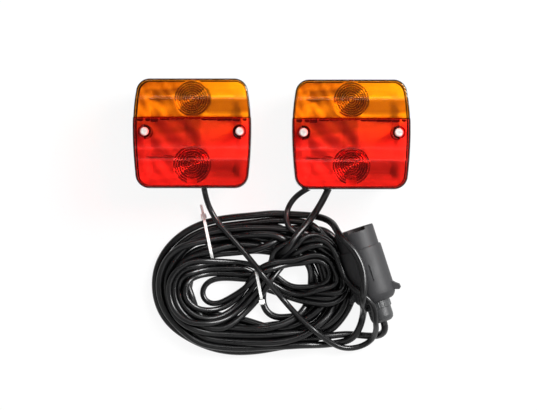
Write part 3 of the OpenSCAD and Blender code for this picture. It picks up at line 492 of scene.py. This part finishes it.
def dress(obj, material):
    obj.data.materials.clear()
    obj.data.materials.append(material)


def dress_node(name, material):
    """Gives a CAD node a better material on its object's slots; its mesh isn't touched."""
    node = NODES[name]
    for slot in node.material_slots:
        slot.link = "OBJECT"
        slot.material = material


for side in ("left", "right"):
    for piece, key in {
            "base": "base_black", "gasket": "gasket", "reflector": "carrier", "earth_strip": "strip",
            "lens_screws": "screw", "magnet_cup": "pot", "magnet_ring": "ferrite", "magnet_bolt": "bolt",
            "magnet_nut": "bolt", "lens_red": "red", "lens_amber": "amber"}.items():
        dress_node(f"{side}_{piece}", M[key])
    for bulb in ("indicator", "tail"):
        for piece, key in {"holder": "holder", "cap": "cap", "glass": "glass", "contact": "brass"}.items():
            dress_node(f"{side}_{bulb}_{piece}", M[key])
for name in ("left_link_grommet", "right_link_grommet", "right_lead_grommet"):
    dress_node(name, M["grommet"])
for name, key in {"plug_shell": "plug_shell", "plug_insert": "plug_insert", "plug_pins": "brass", "plug_boot": "boot",
                  "coil_tie": "nylon", "hank_tie": "nylon"}.items():
    dress_node(name, M[key])
dress(lead, M["cable"])
dress(link, M["cable"])


# ---------------------------------------------------------------- lens outline and stepped face, in millimetres
LENS_W, LENS_H, CORNER_R = 106.5, 99, 13
BOW_TOP, BOW_BOTTOM, BOW_Y = 190, 400, 6
Z_LENS, Z_FACE, WALL, DRAFT, EDGE_R = 34.2, 65.0, 1.8, 0.5, 1.5
AMBER_RING, RED_RING = (30.6, 15.9), (-28.2, 17.1)
SEAM_Y = 14.0
SCREW = (42.5, 1.6)
STEP_ROUND = 0.5
LAMPS = {"left": (-71.0, 0.5), "right": (71.0, -0.5)}


def face_profile():
    """The stepped face across the lamp as (y, drop), from low y up, with a small round at each corner."""
    corners = [(-60.0, 2.0), (-24.3, 2.0), (-22.3, 1.0), (-13.5, 1.0), (-11.5, 0.0), (30.8, 0.0), (32.8, 1.0),
               (60.0, 1.0)]
    out = [corners[0]]
    for (a, b, c) in zip(corners, corners[1:], corners[2:]):
        a, b, c = (np.array(p, float) for p in (a, b, c))
        u, v = (a - b) / np.linalg.norm(a - b), (c - b) / np.linalg.norm(c - b)
        for t in np.linspace(0, 1, 5):
            p = (1 - t) ** 2 * (b + STEP_ROUND * u) + 2 * t * (1 - t) * b + t ** 2 * (b + STEP_ROUND * v)
            out.append((float(p[0]), float(p[1])))
    out.append(corners[-1])
    return out


PROFILE = face_profile()


def drop_at(y):
    """How far the face lies below its highest level at y."""
    return float(np.interp(y, [p[0] for p in PROFILE], [p[1] for p in PROFILE]))


def side_x(y, inset):
    """Half width of the bowed side at y, set in."""
    r = BOW_TOP if y > BOW_Y else BOW_BOTTOM
    return LENS_W / 2 - r + math.sqrt((r - inset) ** 2 - (y - BOW_Y) ** 2)


def corner_centre(top):
    """Centre of an upper or lower corner's round, and the angle at which the bowed side leaves it."""
    r = BOW_TOP if top else BOW_BOTTOM
    cy = LENS_H / 2 - CORNER_R
    dy = cy - BOW_Y if top else cy + BOW_Y
    cx = LENS_W / 2 - r + math.sqrt((r - CORNER_R) ** 2 - dy ** 2)
    return (cx, cy if top else -cy), math.asin(dy / (r - CORNER_R))


def outline(inset):
    """The lens outline, set in, anticlockwise from the middle of its lower edge."""
    (bx, by), a_b = corner_centre(False)
    (tx, ty), a_t = corner_centre(True)
    r = CORNER_R - inset
    n = 16  # points round each corner
    half = [(x, -LENS_H / 2 + inset) for x in np.linspace(0, bx, 12)[:-1]]
    half += [(bx + r * math.cos(a), by + r * math.sin(a)) for a in np.linspace(-math.pi / 2, -a_b, n)]
    creases = {round(p[0], 3) for p in PROFILE if by + 1 < p[0] < ty - 1}
    ys = sorted(creases | set(np.arange(-30, 31, 3.0)) | {SEAM_Y})
    half += [(side_x(y, inset), y) for y in ys]
    half += [(tx + r * math.cos(a), ty + r * math.sin(a)) for a in np.linspace(a_t, math.pi / 2, n)]
    half += [(x, LENS_H / 2 - inset) for x in np.linspace(tx, 0, 12)[1:]]
    return half + [(-x, y) for x, y in reversed(half[1:-1])]


def mesh_object(name, verts, faces):
    """An object from vertices in millimetres."""
    mesh = bpy.data.meshes.new(name)
    mesh.from_pydata([(x * MM, y * MM, z * MM) for x, y, z in verts], [], faces)
    mesh.validate()
    return link_up(bpy.data.objects.new(name, mesh))


def bands(starts, n):
    """Faces between rings of n vertices, one after another; starts holds each ring's first vertex."""
    return [(a + i, a + (i + 1) % n, b + (i + 1) % n, b + i) for a, b in zip(starts, starts[1:]) for i in range(n)]


def fill_face(loop, height, extra):
    """Vertices and faces that close a loop with a surface of the given height at y, creased along extra."""
    pts = [Vector(p) for p in loop]
    edges = [(i, (i + 1) % len(loop)) for i in range(len(loop))]
    for a, b in extra:
        edges.append((len(pts), len(pts) + 1))
        pts += [Vector(a), Vector(b)]
    out_pts, _, out_faces, *_ = delaunay_2d_cdt(pts, edges, [tuple(range(len(loop)))], 1, 1e-5)
    return [(p.x, p.y, height(p.y)) for p in out_pts], out_faces


def loft_solid(name, rows):
    """A solid from rows of outlines, each an inset and its height as a function of y, closed at both ends."""
    verts, loops = [], []
    for inset, height in rows:
        loops.append(len(verts))
        for x, y in outline(inset):
            verts.append((x, y, height(y)))
    n = len(outline(0))
    faces = bands(loops, n) + [tuple(reversed(range(n)))]
    last_inset, last_height = rows[-1]
    # lines across the face at each crease of its profile, so that the steps stay crisp
    extra = []
    for y, _ in PROFILE:
        if abs(y) < min(36, LENS_H / 2 - last_inset - 0.5):
            x = side_x(y, last_inset) - 0.02
            extra.append(((-x, y), (x, y)))
    v2, f2 = fill_face(outline(last_inset), last_height, extra)
    start = len(verts)
    verts += v2
    faces += [tuple(start + i for i in f) for f in f2]
    obj = mesh_object(name, verts, faces)
    clean(obj)
    return obj


def clean(obj, distance=2e-6):
    """Joins vertices closer than distance, in metres, drops faces without area and turns the rest outwards."""
    bm = bmesh.new()
    bm.from_mesh(obj.data)
    bmesh.ops.remove_doubles(bm, verts=bm.verts, dist=distance)
    bmesh.ops.dissolve_degenerate(bm, dist=1e-7, edges=bm.edges)
    bmesh.ops.recalc_face_normals(bm, faces=bm.faces)
    bm.to_mesh(obj.data)
    bm.free()


def revolve(name, profile, steps, centre):
    """A solid of revolution about the vertical line through centre; profile is (radius, z), closed by itself."""
    verts, faces = [], []
    rings = []
    for r, z in profile:
        if r < 1e-6:
            rings.append([len(verts)])
            verts.append((centre[0], centre[1], z))
        else:
            rings.append(list(range(len(verts), len(verts) + steps)))
            for i in range(steps):
                a = 2 * math.pi * i / steps
                verts.append((centre[0] + r * math.cos(a), centre[1] + r * math.sin(a), z))
    for p, q in zip(rings, rings[1:] + rings[:1]):
        for i in range(steps):
            j = (i + 1) % steps
            f = []
            for ring, k in ((p, i), (p, j), (q, j), (q, i)):
                v = ring[k % len(ring)] if len(ring) > 1 else ring[0]
                if v not in f:
                    f.append(v)
            if len(f) > 2:
                faces.append(tuple(f))
    obj = mesh_object(name, verts, faces)
    clean(obj)
    return obj


def block(name, lo, hi):
    x0, y0, z0 = lo
    x1, y1, z1 = hi
    v = [(x, y, z) for z in (z0, z1) for y in (y0, y1) for x in (x0, x1)]
    f = [(0, 2, 3, 1), (4, 5, 7, 6), (0, 1, 5, 4), (2, 6, 7, 3), (0, 4, 6, 2), (1, 3, 7, 5)]
    return mesh_object(name, v, f)


SOLVERS = [item.identifier for item in bpy.types.BooleanModifier.bl_rna.properties["solver"].enum_items]
SOLVER = "MANIFOLD" if "MANIFOLD" in SOLVERS else "EXACT"


def cut(obj, others, how):
    """Boolean of obj with each of the others, which are used up."""
    for other in others:
        mod = obj.modifiers.new("b", "BOOLEAN")
        mod.operation = how
        mod.solver = SOLVER
        mod.object = other
        dg = bpy.context.evaluated_depsgraph_get()
        mesh = bpy.data.meshes.new_from_object(obj.evaluated_get(dg))
        obj.modifiers.clear()
        old = obj.data
        obj.data = mesh
        bpy.data.meshes.remove(old)
        bpy.data.objects.remove(other)
    return obj


def shade(obj, angle=24, weighted=True):
    """Smooth shading that breaks at edges sharper than the angle."""
    for p in obj.data.polygons:
        p.use_smooth = True
    bm = bmesh.new()
    bm.from_mesh(obj.data)
    limit = math.radians(angle)
    for e in bm.edges:
        e.smooth = len(e.link_faces) == 2 and e.calc_face_angle(0) < limit
    bm.to_mesh(obj.data)
    bm.free()
    if weighted:
        mod = obj.modifiers.new("weights", "WEIGHTED_NORMAL")
        mod.keep_sharp = True
        mod.weight = 80


def top_height(lift=0.0):
    """Height of the stepped face, moved by lift, as a function of y."""
    return lambda y: Z_FACE + lift - drop_at(y)


def lens_shell(name, inset0=0.0):
    """The outer body of the lens less its cavity, both lofted; the rim's round follows the steps."""
    rows = [(inset0, lambda y: Z_LENS),
            (inset0 + DRAFT * 0.5, lambda y: (Z_LENS + Z_FACE - drop_at(y) - EDGE_R) / 2)]
    for a in np.linspace(0, 90, 8):
        s, c = math.sin(math.radians(a)), math.cos(math.radians(a))
        rows.append((inset0 + DRAFT + EDGE_R * (1 - c), lambda y, s=s: Z_FACE - drop_at(y) - EDGE_R * (1 - s)))
    rows.append((inset0 + DRAFT + EDGE_R + 0.7, top_height()))
    body = loft_solid(name, rows)
    r_in = 0.5
    rows = [(WALL, lambda y: Z_LENS - 1.0)]
    for a in np.linspace(0, 90, 5):
        s, c = math.sin(math.radians(a)), math.cos(math.radians(a))
        rows.append((WALL + DRAFT * 0.9 + r_in * (1 - c), lambda y, s=s: Z_FACE - WALL - drop_at(y) - r_in * (1 - s)))
    rows.append((WALL + DRAFT * 0.9 + r_in + 0.7, top_height(-WALL)))
    cavity = loft_solid("cavity", rows)
    return cut(body, [cavity], "DIFFERENCE")


def ring_solid(name, ring, drop, count=8, land=False):
    """Prism rings under the face: a ridge in each pitch, steep on both sides, and a thin flat between them.
    With land, a plain stretch crosses the rings on their lower side, and a gusset fills the step above them."""
    centre_y, radius = ring
    root = Z_FACE - WALL - drop
    pitch = radius / count
    top = root + (1.6 if land else 1.4)
    profile = [(0, top), (radius, top), (radius, root)]
    ridge = ((0.83, 0.02), (0.65, 0.18 * pitch), (0.46, 0.40 * pitch), (0.42, 0.40 * pitch), (0.23, 0.18 * pitch),
             (0.05, 0.02))  # share of the pitch from the inside, and depth
    for i in range(count, 0, -1):
        if i < count:
            profile.append((i * pitch, root))
        for share, deep in ridge if i > 1 else ridge[:4]:
            profile.append(((i - 1) * pitch + share * pitch, root - deep))
    profile.append((0, root - 0.1))
    obj = revolve(name, profile, 120, (0, centre_y))
    if land:
        plain = block("land", (-4.6, centre_y - radius - 0.4, root - 1.3),
                      (4.6, centre_y - radius * 0.52, root + 0.5))
        gusset = block("gusset", (-8.5, -13.9, root + 0.1), (8.5, -11.2, root + 2.3))
        cut(obj, [plain, gusset], "UNION")
    return obj


def half_space(y0, y1):
    """All of a lens between two values of y."""
    return block("zone", (-80, y0, 0), (80, y1, 90))


def groove():
    """The shallow vee that the weld leaves across the face."""
    v = []
    for x in (-70, 70):
        v += [(x, SEAM_Y - 0.9, Z_FACE + 0.3), (x, SEAM_Y, Z_FACE - 0.22), (x, SEAM_Y + 0.9, Z_FACE + 0.3)]
    return mesh_object("vee", v, [(0, 1, 2), (5, 4, 3), (0, 3, 4, 1), (1, 4, 5, 2), (2, 5, 3, 0)])


def lens_pair(side):
    """One lamp's lens: the red half with its columns, rings, web and wells, and the amber half with its rings."""
    red = lens_shell(side + "_lens_red_form")
    adds = [ring_solid("rings", RED_RING, 2.0, land=True)]
    for s in (-1, 1):
        adds.append(revolve("column", [(0, 33.8), (5.8, 33.8), (6.0, 34.2), (6.0, 63.6), (0, 63.6)], 64,
                            (s * SCREW[0], SCREW[1])))
    adds.append(block("web", (-45.5, SEAM_Y - 1.5, 57.4), (45.5, SEAM_Y, 63.5)))
    cut(red, adds, "UNION")
    cut(red, [half_space(-90, SEAM_Y)], "INTERSECT")
    wells = []
    for s in (-1, 1):
        profile = [(0, 60.0), (5.0, 60.0), (5.0, 64.3), (5.08, 64.65), (5.3, 64.9), (5.65, 65.02), (5.8, 67.0),
                   (0, 67.0)]
        wells.append(revolve("well", profile, 64, (s * SCREW[0], SCREW[1])))
        wells.append(revolve("shaft", [(0, 30), (2.3, 30), (2.3, 62), (0, 62)], 32, (s * SCREW[0], SCREW[1])))
    wells.append(groove())
    cut(red, wells, "DIFFERENCE")
    amber = lens_shell(side + "_lens_amber_form", 0.35)
    adds = [ring_solid("rings", AMBER_RING, 1.0)]
    adds.append(block("web", (-45.5, SEAM_Y, 57.4), (45.5, SEAM_Y + 1.5, 63.5)))
    cut(amber, adds, "UNION")
    cut(amber, [half_space(SEAM_Y, 90)], "INTERSECT")
    cut(amber, [groove()], "DIFFERENCE")
    for obj, key, slot in ((red, "red", "lens_red"), (amber, "amber", "lens_amber")):
        x, y = LAMPS[side]
        obj.data.transform(Matrix.Translation((x * MM, y * MM, 0)))
        shade(obj)
        dress(obj, M[key])
        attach(obj, "root")
        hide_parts(f"{side}_{slot}")


for side in ("left", "right"):
    lens_pair(side)


# ---------------------------------------------------------------- reflector: a pale tray hung on the base's ridge
BULB_HOLE_R, COLUMN_HOLE_R, BOWL_R = 8.6, 6.4, 17
TRAY_INSET, LIP_Z = 9.6, 36.4
AMBER_RIDGE_Y, RED_RIDGE_Y = 31.6, -20.5


def clamp(v, low=0):
    return min(max(v, low), 1)


def eased(v):
    """v kept between 0 and 1, with a soft start and end."""
    t = clamp(v)
    return t * t * (3 - 2 * t)


def edge_distance(x, y, inset):
    """Distance from the outline that is set in by inset, positive inside it."""
    if abs(x) > 36 and abs(y) > 31:
        (cx, cy), _ = corner_centre(y > 0)
        if abs(x) > cx and abs(y) > abs(cy):
            return CORNER_R - inset - math.hypot(abs(x) - cx, abs(y) - abs(cy))
    return min(side_x(y, inset) - abs(x), LENS_H / 2 - inset - abs(y))


def reflector_height(x, y):
    """Height of the tray's panels: roofs on the right, waves on the left, bowls round the bulbs, up to the lip."""
    if y > SEAM_Y:
        roof = 35.5 - 0.55 * abs(y - AMBER_RIDGE_Y)
    else:
        roof = 36.5 - (0.50 if y < RED_RIDGE_Y else 0.26) * abs(y - RED_RIDGE_Y)
    left = 30.0 + 1.3 * math.sin(x * 0.30 + 0.25 * y) + 0.7 * math.sin(0.38 * y - 0.1 * x)
    t = eased((x - 4) / 12)
    z = left * (1 - t) + roof * t
    w = eased(edge_distance(x, y, 9.0) / 7)
    z = LIP_Z * (1 - w) + z * w
    for cy in (AMBER_RING[0], RED_RING[0]):
        d = math.hypot(x, y - cy)
        if d < BOWL_R:
            bowl = 26.2 + (d / BOWL_R) ** 2 * 5.0
            w = clamp((BOWL_R - d) / 5)
            z = z * (1 - w) + bowl * w
    return z


def box_mask(x, y, x0, x1, y0, y1, soft):
    """1 inside a box in plan and 0 outside, over a soft edge."""
    return eased(min(x - x0, x1 - x, y - y0, y1 - y) / soft + 0.5)


def disc_mask(x, y, ring):
    """1 under the ring, falling to 0 over the last 1.5 mm of its radius."""
    return clamp((ring[1] - math.hypot(x, y - ring[0])) / 1.5)


def painted_light_and_shade(x, y):
    """Painted light and shade on the tray at a place: bright and dark zones painted into its colour, which stand for
    the light and dark zones seen through the photograph's lens.
    """
    right = clamp((x - 3) / 6)
    # painted shade: under the rings the tray is painted darker on the side away from the bulb's glow
    amber_ring_shade = disc_mask(x, y, AMBER_RING) * clamp((x + 6 - 0.3 * (y - 30)) / 10, 0.25)
    red_ring_shade = disc_mask(x, y, RED_RING) * clamp((x - 0.2 * (y + 28)) / 8, 0.15)
    wave = math.sin(0.21 * x + 0.33 * y + 1.6 * math.sin(0.17 * y)) * math.sin(0.27 * x - 0.19 * y)
    # amber side: painted light on the right, painted shade in a band below the step and near the seam
    if y > SEAM_Y:
        t = 0.50 + 0.20 * wave + 0.08 * math.sin(0.7 * x + 0.4 * y)
        bright = 0.92 - 0.5 * box_mask(x, y, 0, 70, 19.0, 31.4, 2.6) - 0.12 * box_mask(x, y, 0, 70, 13, 20.5, 2.0)
        t = t * (1 - right) + bright * right
        t *= 1 - 0.50 * amber_ring_shade
        # painted shade is redder too: green and blue drop further where the painted tone is darker
        painted_shade_tint = 0.50 + 0.50 * min(t / 0.88, 1)
        return t, t * painted_shade_tint, t * painted_shade_tint
    # red side: painted shade on the left between the steps and across its middle, painted light on the right above
    # the lower step and less below it with a darker patch, painted shade down the middle, and a little more blue on
    # the left
    t = 0.60 + 0.11 * wave
    t *= 1 - 0.32 * box_mask(x, y, -60, -13, -22.4, -14.5, 1.5)
    t *= 1 - 0.20 * box_mask(x, y, -60, -6, -10, 12, 8.0)
    bright = 0.95 * box_mask(x, y, 0, 70, -23.0, 16, 2.0) + 0.47 * box_mask(x, y, 0, 70, -70, -23.0, 2.0)
    bright *= 1 - 0.3 * box_mask(x, y, 17, 43, -39, -28.0, 6.0)
    t = t * (1 - right) + bright * right
    t *= 1 - 0.34 * box_mask(x, y, -7.5, 6.5, -12, 16, 2.5)
    t *= 1 - 0.55 * red_ring_shade
    return t, t, t * (1.25 if x < 0 else 1.0)


def seal_strip(name):
    """Dark strip of sealant under the weld, in uneven lengths with bare notches between them."""
    verts, faces = [], []
    runs = [(-49.0, -43.9, 2.6), (-41.6, -37.2, 2.4), (-36.9, -30.4, 3.1), (-28.6, -20.0, 1.5), (-19.8, -6.0, 0.8),
            (-5.8, 8.0, 0.7), (8.2, 22.0, 1.7), (22.2, 36.0, 2.1), (36.2, 42.9, 2.5), (45.0, 48.6, 2.2)]
    for k, (x0, x1, deep) in enumerate(runs):
        n = max(int((x1 - x0) / 1.4), 2)
        start = len(verts)
        for i in range(n + 1):
            x = x0 + (x1 - x0) * i / n
            low = SEAM_Y - 0.9 - deep + 0.16 * math.sin(1.9 * i + 2.3 * k) + (0.35 if i in (0, n) else 0)
            side_low = 58.4 - 0.3 * math.sin(1.3 * i + k)
            verts += [(x, low, side_low), (x, low + 0.15, 61.4), (x, SEAM_Y - 0.75, 61.6),
                      (x, SEAM_Y - 0.75, side_low)]
        faces += bands(range(start, start + 4 * n + 1, 4), 4)
        faces += [(start, start + 3, start + 2, start + 1), tuple(start + 4 * n + j for j in range(4))]
    obj = mesh_object(name, verts, faces)
    clean(obj)
    return obj


def circle(centre_x, centre_y, radius, count):
    """Points of a circle in plan."""
    return [Vector((centre_x + radius * math.cos(2 * math.pi * i / count),
                    centre_y + radius * math.sin(2 * math.pi * i / count))) for i in range(count)]


def reflector_piece(side):
    """One lamp's tray with the holes for its bulbs and columns, its painted light and shade, and the partition with
    its seal.
    """
    verts, rows = [], []
    # lip over the ridge, and the wall down to the panels
    profile = [(2.9, 35.7), (2.8, 36.0), (2.9, 36.5), (3.2, 36.8), (5.5, 36.85), (7.6, 36.7), (8.6, 36.5),
               (TRAY_INSET, None)]
    n = len(outline(0))
    for inset, z in profile:
        rows.append(len(verts))
        for x, y in outline(inset):
            verts.append((x, y, reflector_height(x, y) if z is None else z))
    faces = bands(rows, n)
    pts = [Vector(p) for p in outline(TRAY_INSET)]
    edges = [(i, (i + 1) % n) for i in range(n)]
    bulbs = [(0, AMBER_RING[0], BULB_HOLE_R), (0, RED_RING[0], BULB_HOLE_R)]
    columns = [(-SCREW[0], SCREW[1], COLUMN_HOLE_R), (SCREW[0], SCREW[1], COLUMN_HOLE_R)]
    holes = bulbs + columns
    rounds = [(cx, cy, rr, 48) for cx, cy, r in bulbs for rr in (r, 11, 14, BOWL_R)]
    for cx, cy, r, count in rounds + [(*c, 40) for c in columns]:
        k = len(pts)
        pts += circle(cx, cy, r, count)
        edges += [(k + i, k + (i + 1) % count) for i in range(count)]
    # a grid that keeps off the bowls, the columns' holes, the seam and the edge
    keep_off = [(cx, cy, BOWL_R + 0.5) for cx, cy, r in bulbs] + columns
    for gx in np.arange(-42, 43, 2.0):
        for gy in np.arange(-39, 40, 2.0):
            if abs(gx) > side_x(gy, 10.6) or abs(gy - SEAM_Y) < 0.9:
                continue
            if any(math.hypot(gx - cx, gy - cy) < r + 0.6 for cx, cy, r in keep_off):
                continue
            if abs(gy) > 36 and abs(gx) > 34:
                continue
            pts.append(Vector((gx, gy)))
    for y in (SEAM_Y - 0.05, SEAM_Y + 0.05, AMBER_RIDGE_Y, RED_RIDGE_Y):
        edges.append((len(pts), len(pts) + 1))
        pts += [Vector((-side_x(y, 9.7), y)), Vector((side_x(y, 9.7), y))]
    out_pts, _, out_faces, *_ = delaunay_2d_cdt(pts, edges, [tuple(range(n))], 1, 1e-4)
    k = len(verts)
    verts += [(p.x, p.y, reflector_height(p.x, p.y)) for p in out_pts]
    for f in out_faces:
        cx = sum(out_pts[i].x for i in f) / len(f)
        cy = sum(out_pts[i].y for i in f) / len(f)
        if any(math.hypot(cx - hx, cy - hy) < r for hx, hy, r in holes):
            continue
        faces.append(tuple(k + i for i in f))
    obj = mesh_object(f"{side}_reflector_tray", verts, faces)
    clean(obj, 1e-5)
    bm = bmesh.new()
    bm.from_mesh(obj.data)
    bmesh.ops.recalc_face_normals(bm, faces=bm.faces)
    up = sum(f.normal.z * f.calc_area() for f in bm.faces)
    if up < 0:
        bmesh.ops.reverse_faces(bm, faces=bm.faces)
    bm.to_mesh(obj.data)
    bm.free()
    # painted light and shade at each vertex, as a colour that the tray's material multiplies in
    shades = obj.data.attributes.new("painted_light_and_shade", "FLOAT_COLOR", "POINT")
    painted_values = []
    for v in obj.data.vertices:
        painted_values += [*painted_light_and_shade(v.co.x / MM, v.co.y / MM), 1.0]
    shades.data.foreach_set("color", painted_values)
    thick = obj.modifiers.new("thick", "SOLIDIFY")
    thick.thickness = 1.1 * MM
    thick.offset = -1
    # the partition between the chambers, with its dark seal against the lens
    wall = block(f"{side}_partition", (-44.5, SEAM_Y - 0.8, 28.5), (44.5, SEAM_Y + 0.8, 50.0))
    seal = seal_strip(f"{side}_partition_seal")
    for piece in (wall, seal):
        bevel = piece.modifiers.new("round", "BEVEL")
        bevel.width = 0.2 * MM
        bevel.segments = 2
    dress(seal, M["seal"])
    dress(wall, M["partition"])
    dress(obj, M["tray"])
    x, y = LAMPS[side]
    for piece in (obj, wall, seal):
        piece.data.transform(Matrix.Translation((x * MM, y * MM, 0)))
        shade(piece, 30, weighted=False)
        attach(piece, "root")
    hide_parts(f"{side}_reflector")


for side in ("left", "right"):
    reflector_piece(side)


# ---------------------------------------------------------------- cable ties, pulled round the settled turns
def hull(points):
    """Convex hull of points in a plane, anticlockwise."""
    pts = sorted(set((round(a, 4), round(b, 4)) for a, b in points))

    def half(seq):
        out = []
        for p in seq:
            while len(out) > 1 and ((out[-1][0] - out[-2][0]) * (p[1] - out[-2][1])
                                    - (out[-1][1] - out[-2][1]) * (p[0] - out[-2][0])) <= 0:
                out.pop()
            out.append(p)
        return out[:-1]

    return half(pts) + half(pts[::-1])


def crossings(points, centre, along, reach, heights):
    """Where a cord crosses the upright plane through centre: (distance along it, height)."""
    rel = points[:, :2] - np.array(centre)
    side = rel @ np.array([-along[1], along[0]])
    t = rel @ np.array(along)
    out = []
    for i in range(len(points) - 1):
        if side[i] * side[i + 1] <= 0 and side[i] != side[i + 1]:
            f = side[i] / (side[i] - side[i + 1])
            tt, zz = t[i] + f * (t[i + 1] - t[i]), points[i, 2] + f * (points[i + 1, 2] - points[i, 2])
            if reach[0] < tt < reach[1] and heights[0] < zz < heights[1]:
                out.append((float(tt), float(zz)))
    return out


def tie(name, centre, turn, cord, radius, reach, heights, head_end, tail):
    """A strap pulled round the turns that cross the upright plane, with its head, and a tail of that length."""
    a = math.radians(turn)
    along = (-math.sin(a), math.cos(a))
    across = (math.cos(a), math.sin(a))
    places = crossings(cord, centre, along, reach, heights)
    ring = hull([(t + (radius + 0.1) * math.cos(q), z + (radius + 0.1) * math.sin(q))
                 for t, z in places for q in np.linspace(0, 2 * math.pi, 24, endpoint=False)])
    loop = np.array(ring + ring[:1])
    s = np.concatenate([[0], np.cumsum(np.linalg.norm(np.diff(loop, axis=0), axis=1))])
    n = 90
    u = np.linspace(0, s[-1], n, endpoint=False)
    inner = np.stack([np.interp(u, s, loop[:, k]) for k in (0, 1)], 1)
    inner = (np.roll(inner, 1, 0) + 2 * inner + np.roll(inner, -1, 0)) / 4
    step = np.roll(inner, -1, 0) - np.roll(inner, 1, 0)
    normal = np.stack([step[:, 1], -step[:, 0]], 1) / np.linalg.norm(step, axis=1)[:, None]
    half_width, thickness = 1.35, 0.9
    outer = inner + thickness * normal
    inner[:, 1] = np.maximum(inner[:, 1], 0.7)
    outer[:, 1] = np.maximum(outer[:, 1], 0.1)

    def at(t, w, z):
        return (centre[0] + along[0] * t + across[0] * w, centre[1] + along[1] * t + across[1] * w, z)

    verts = []
    for (ti, zi), (to, zo) in zip(inner, outer):
        verts += [at(ti, -half_width, zi), at(ti, half_width, zi), at(to, half_width, zo), at(to, -half_width, zo)]
    faces = bands([4 * i for i in range(n)] + [0], 4)
    # head, and the tail that leaves it
    t_end = outer[:, 0].min() if head_end < 0 else outer[:, 0].max()
    z_mid = float(outer[np.argmin(outer[:, 0]) if head_end < 0 else np.argmax(outer[:, 0]), 1])
    z_mid = max(z_mid, 2.6)

    def slab_at(t0, t1, w, z0, z1):
        start = len(verts)
        for t in (t0, t1):
            for ww, zz in ((-w, z0), (w, z0), (w, z1), (-w, z1)):
                verts.append(at(t, ww, zz))
        faces.extend([(start, start + 3, start + 2, start + 1), (start + 4, start + 5, start + 6, start + 7)])
        faces.extend(bands([start, start + 4], 4))

    slab_at(t_end - 0.4, t_end + head_end * 4.4, 2.6, z_mid - 1.9, z_mid + 1.9)
    slab_at(t_end + head_end * 4.0, t_end + head_end * (4.0 + tail), 1.2, z_mid - 0.5, z_mid + 0.4)
    obj = mesh_object(name + "_strap", verts, faces)
    clean(obj)
    bevel = obj.modifiers.new("round", "BEVEL")
    bevel.width = 0.25 * MM
    bevel.segments = 2
    bevel.limit_method = "ANGLE"
    shade(obj, 40, weighted=False)
    dress(obj, M["nylon"])
    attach(obj, "root")
    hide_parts(name)


LEFT_LEG = 110  # points at the link lead's left end that its tie leaves out
tie("coil_tie", COIL_TIE, COIL_TIE_TURN, lead_points, LEAD_D / 2, (-19, 26), (0, 40), 1, 9)
tie("hank_tie", HANK_TIE, HANK_TIE_TURN, link_points[:-LEFT_LEG], LINK_D / 2, (-19, 15), (0, 60), -1, 1.2)


# ---------------------------------------------------------------- floor and light
FLOOR_HALF = 14  # metres
FLOOR_GLOW = 0.9  # share of what those rays see that is plain white


def floor_material():
    """Nearly white to the camera, in reflections and through the lenses; the rest of it is a plain surface that
    takes the shadows."""
    m, new, join, out = started("floor_white")
    plain = new("BsdfDiffuse", Color=(0.9, 0.9, 0.9, 1))
    white = new("Emission", Color=(1, 1, 1, 1), Strength=1.0)
    path = new("LightPath")
    either, any_of = new("Math"), new("Math")
    either.operation = any_of.operation = "MAXIMUM"
    join(path.outputs["Is Camera Ray"], either.inputs[0])
    join(path.outputs["Is Glossy Ray"], either.inputs[1])
    join(either.outputs[0], any_of.inputs[0])
    join(path.outputs["Is Transmission Ray"], any_of.inputs[1])
    part = times(new, join, any_of.outputs[0], FLOOR_GLOW)
    blend(new, join, out, plain.outputs["BSDF"], white.outputs["Emission"], part)
    return m


floor_mesh = bpy.data.meshes.new("floor")
floor_mesh.from_pydata([(x * FLOOR_HALF, y * FLOOR_HALF, 0) for x, y in ((-1, -1), (1, -1), (1, 1), (-1, 1))],
                       [], [(0, 1, 2, 3)])
floor = link_up(bpy.data.objects.new("floor", floor_mesh))
floor.location.z = -0.0002
floor_mesh.materials.append(floor_material())


def area_light(name, place, aim, width, height, power):
    data = bpy.data.lights.new(name, "AREA")
    data.shape = "RECTANGLE"
    data.size = width
    data.size_y = height
    data.energy = power
    obj = link_up(bpy.data.objects.new(name, data))
    obj.location = place
    obj.rotation_euler = (Vector(aim) - Vector(place)).to_track_quat("-Z", "Y").to_euler()


area_light("key", (1.28, 0.66, 1.25), (0, -0.06, 0.02), 0.9, 0.7, 56)
area_light("fill", (-1.3, -0.5, 1.6), (0, -0.06, 0.02), 1.4, 1.4, 4)
area_light("strip_back", (0.2, 0.78, 1.60), (0, 0, 0.06), 2.2, 0.30, 9)
area_light("strip_front", (0.2, -0.86, 1.60), (0, -0.06, 0.06), 2.2, 0.30, 4)

world = bpy.data.worlds.new("studio")
bpy.context.scene.world = world
world.use_nodes = True
world.node_tree.nodes.clear()
new, join = makers(world.node_tree)
back = new("Background", Color=(1, 1, 1, 1))
axes = new("SeparateXYZ")
join(new("TexCoord").outputs["Generated"], axes.inputs[0])
level = new("Math")
level.operation = "MULTIPLY"
# the room is darker overhead, and its right-hand side is the bright one
for place, axis, spans in ((1, "Z", (0.35, 0.97, 0.75, 0.10)), (0, "X", (-0.8, 0.7, 0.22, 1.15))):
    ranged = new("MapRange", **dict(zip(("From_Min", "From_Max", "To_Min", "To_Max"), spans)))
    ranged.interpolation_type = "SMOOTHSTEP"
    join(axes.outputs[axis], ranged.inputs["Value"])
    join(ranged.outputs["Result"], level.inputs[place])
join(level.outputs[0], back.inputs["Strength"])
join(back.outputs["Background"], new("OutputWorld").inputs["Surface"])
bpy.context.scene.view_settings.view_transform = "Standard"

bpy.context.view_layer.update()
